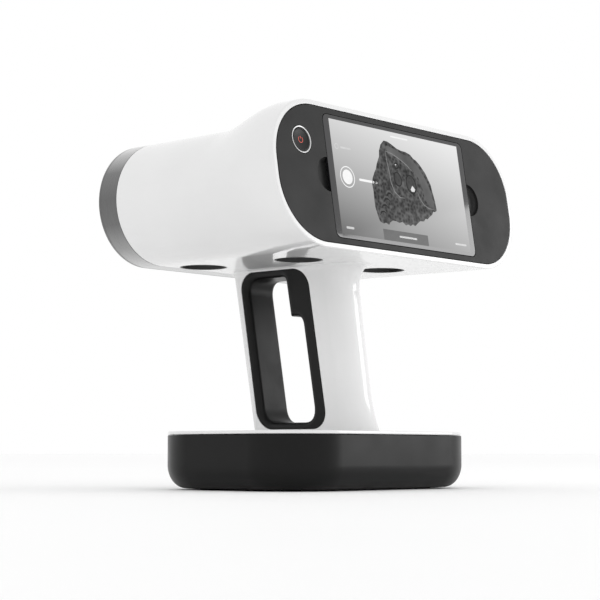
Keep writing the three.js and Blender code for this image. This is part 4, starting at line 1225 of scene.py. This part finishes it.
def battery_casing():
    """The open-topped casing, from its inside floor over the rim and down to the outside floor."""
    top, bottom = CASING_HIGH.z, CASING_LOW.z
    inside = [casing_ring(z, WALL, bottom + WALL) for z in casing_levels(bottom + WALL)]
    turns = [i / EDGE_STEPS * math.pi / 2 for i in range(EDGE_STEPS + 1)]
    edge = 0.0005
    arcs = [(edge * math.sin(a), edge * math.cos(a)) for a in turns]
    rim = [casing_ring(top - edge + rise, WALL - edge + reach, bottom) for rise, reach in arcs]
    rim += [casing_ring(top - edge + reach, edge - rise, bottom) for rise, reach in arcs]
    outside = [casing_ring(z, 0, bottom) for z in reversed(casing_levels(bottom))]
    casing = loft("fine_battery_casing", inside + rim + outside)
    front = BASE_MIDDLE.y + BASE_HALF[1]
    mouth = rounded(RAIL_MOUTH_HALF, 0.01, 0.001, 4, (0, front))
    latch = middle_of("battery_latch")
    latch_half = (LATCH_HALF_WIDTH + GAP, 0.0033)
    latch_hole = rounded(*latch_half, 0.0008, 4, (latch.x, -(latch.z - LENS_Z)))
    tools = [
        plate("tool", mouth, TROUGH_Z, TROUGH_Z + 0.02, 0.0001),
        plate("tool", latch_hole, front - 0.01, front + 0.01, 0.0001, place=UPRIGHT),
    ]
    for node in at_corners("casing_screw"):
        seat = bottom + 0.0016
        sink = [(0, -0.001), (0.0034, -0.001), (0.0034, seat)]
        sink += [(0.0019, seat), (0.0019, 0.015), (0, 0.015)]
        tools.append(turned("tool", sink, floor_under(node), steps=32))
    for node in at_corners("foot"):
        recess = circle(half_across(node) + GAP, middle_of(node))
        tools.append(plate("tool", recess, -0.001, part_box(node)[1].z + GAP, 0.00005))
    carved(casing, *tools)
    at_front = lambda e: all(v.co.y > front - 0.0002 for v in e.verts)
    show(edges_rounded(casing, EDGE, at_front), "base_black", "battery_casing")


def screws():
    """Sunk pan-head screws with a hexagon socket."""
    for node in at_corners("casing_screw"):
        low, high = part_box(node)
        head, shank = half_across(node), 0.0015
        corners = [(0, low.z), (head, low.z), (head, low.z + 0.0008), (shank, low.z + 0.0008)]
        corners += [(shank, high.z), (0, high.z)]
        profile = filleted(corners, 0.0002, closed=False)
        screw = turned(f"fine_{node}", profile, floor_under(node), steps=36)
        socket = circle(0.0011, middle_of(node), steps=6)
        carved(screw, plate("tool", socket, low.z - 0.001, low.z + 0.0005, 0.00002))
        show(screw, "steel", node)


def feet():
    for node in at_corners("foot"):
        radius, top = half_across(node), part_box(node)[1].z
        corners = [(0, 0), (radius, 0), (radius, top), (0, top)]
        profile = filleted(corners, 0.0004, closed=False)
        foot = turned(f"fine_{node}", profile, floor_under(node))
        show(foot, "rubber", node)


def battery_inside():
    show(refined("battery_lid", 0.0003), "base_black", "battery_lid")
    show(refined("battery_rail", 0.0003), "plain_aluminium", "battery_rail")
    show(refined("rail_connector", 0.0002), "brass", "rail_connector")
    show(refined("battery_contacts", 0.0002), "brass", "battery_contacts")
    show(refined("battery_board", 0.0002), "circuit_board", "battery_board")
    show(refined("battery_latch", 0.0005), "bezel_grey", "battery_latch")
    for number in range(1, 5):
        show(battery_cell(f"battery_cell_{number}"), "cell_wrap", f"battery_cell_{number}")


def battery_cell(node):
    """A can with a rolled edge and a waist near one end, lying along x."""
    low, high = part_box(node)
    length, radius = high.x - low.x, (high.z - low.z) / 2
    waist = length / 2 - 0.004
    corners = [(0, -length / 2), (radius, -length / 2), (radius, waist - 0.001), (radius - 0.0005, waist)]
    corners += [(radius, waist + 0.001), (radius, length / 2), (0, length / 2)]
    place = Matrix.Translation(middle_of(node)) @ Matrix.Rotation(math.pi / 2, 4, "Y")
    return turned(f"fine_{node}", filleted(corners, 0.0005, closed=False), place, steps=48)


# ---- Studio -------------------------------------------------------------------------------------
def camera():
    data = bpy.data.cameras.new("camera")
    data.lens = CAMERA_LENS
    data.sensor_width = CAMERA_SENSOR
    data.clip_start = 0.01
    eye = bpy.data.objects.new("camera", data)
    eye.location = CAMERA_PLACE
    eye.rotation_euler = (math.pi / 2 + CAMERA_PITCH, 0, -CAMERA_YAW)
    bpy.context.scene.collection.objects.link(eye)
    bpy.context.scene.camera = eye


def softbox(name, place, aim, size, power):
    data = bpy.data.lights.new(name, "AREA")
    data.shape = "RECTANGLE"
    data.size, data.size_y = size
    data.energy = power
    light = bpy.data.objects.new(name, data)
    light.location = place
    towards = Vector(aim) - Vector(place)
    light.rotation_euler = towards.to_track_quat("-Z", "Y").to_euler()
    bpy.context.scene.collection.objects.link(light)


def surroundings():
    """An even white studio."""
    world = bpy.data.worlds.new("studio")
    world.use_nodes = True
    background = world.node_tree.nodes["Background"]
    background.inputs["Color"].default_value = (1, 1, 1, 1)
    background.inputs["Strength"].default_value = 1.0
    bpy.context.scene.world = world


def studio():
    recipe = Recipe("floor", grey(252), 0.7)
    recipe.uneven_colour(3, grey(251))
    recipe.uneven_gloss(8, 0.05)
    floor = plate("floor", rounded(60, 60, 10, 12), -0.02, 0, 0.002)
    floor.data.materials.append(recipe.material)
    surroundings()
    softbox("side", (1.5, -1.3, 0.35), (0, 0, 0.12), (0.9, 0.9), 8)
    bpy.context.scene.view_settings.view_transform = "Standard"


# ---- Assembly -----------------------------------------------------------------------------------
camera()
studio()
head_shell()
vent_grilles()
fans()
rear_bezel()
display_glass()
interface()
power_button()
front_ring()
front_window()
cameras()
inside_head()
handle_shell()
grip_loop()
inside_handle()
foot_plate()
battery_casing()
screws()
feet()
battery_inside()
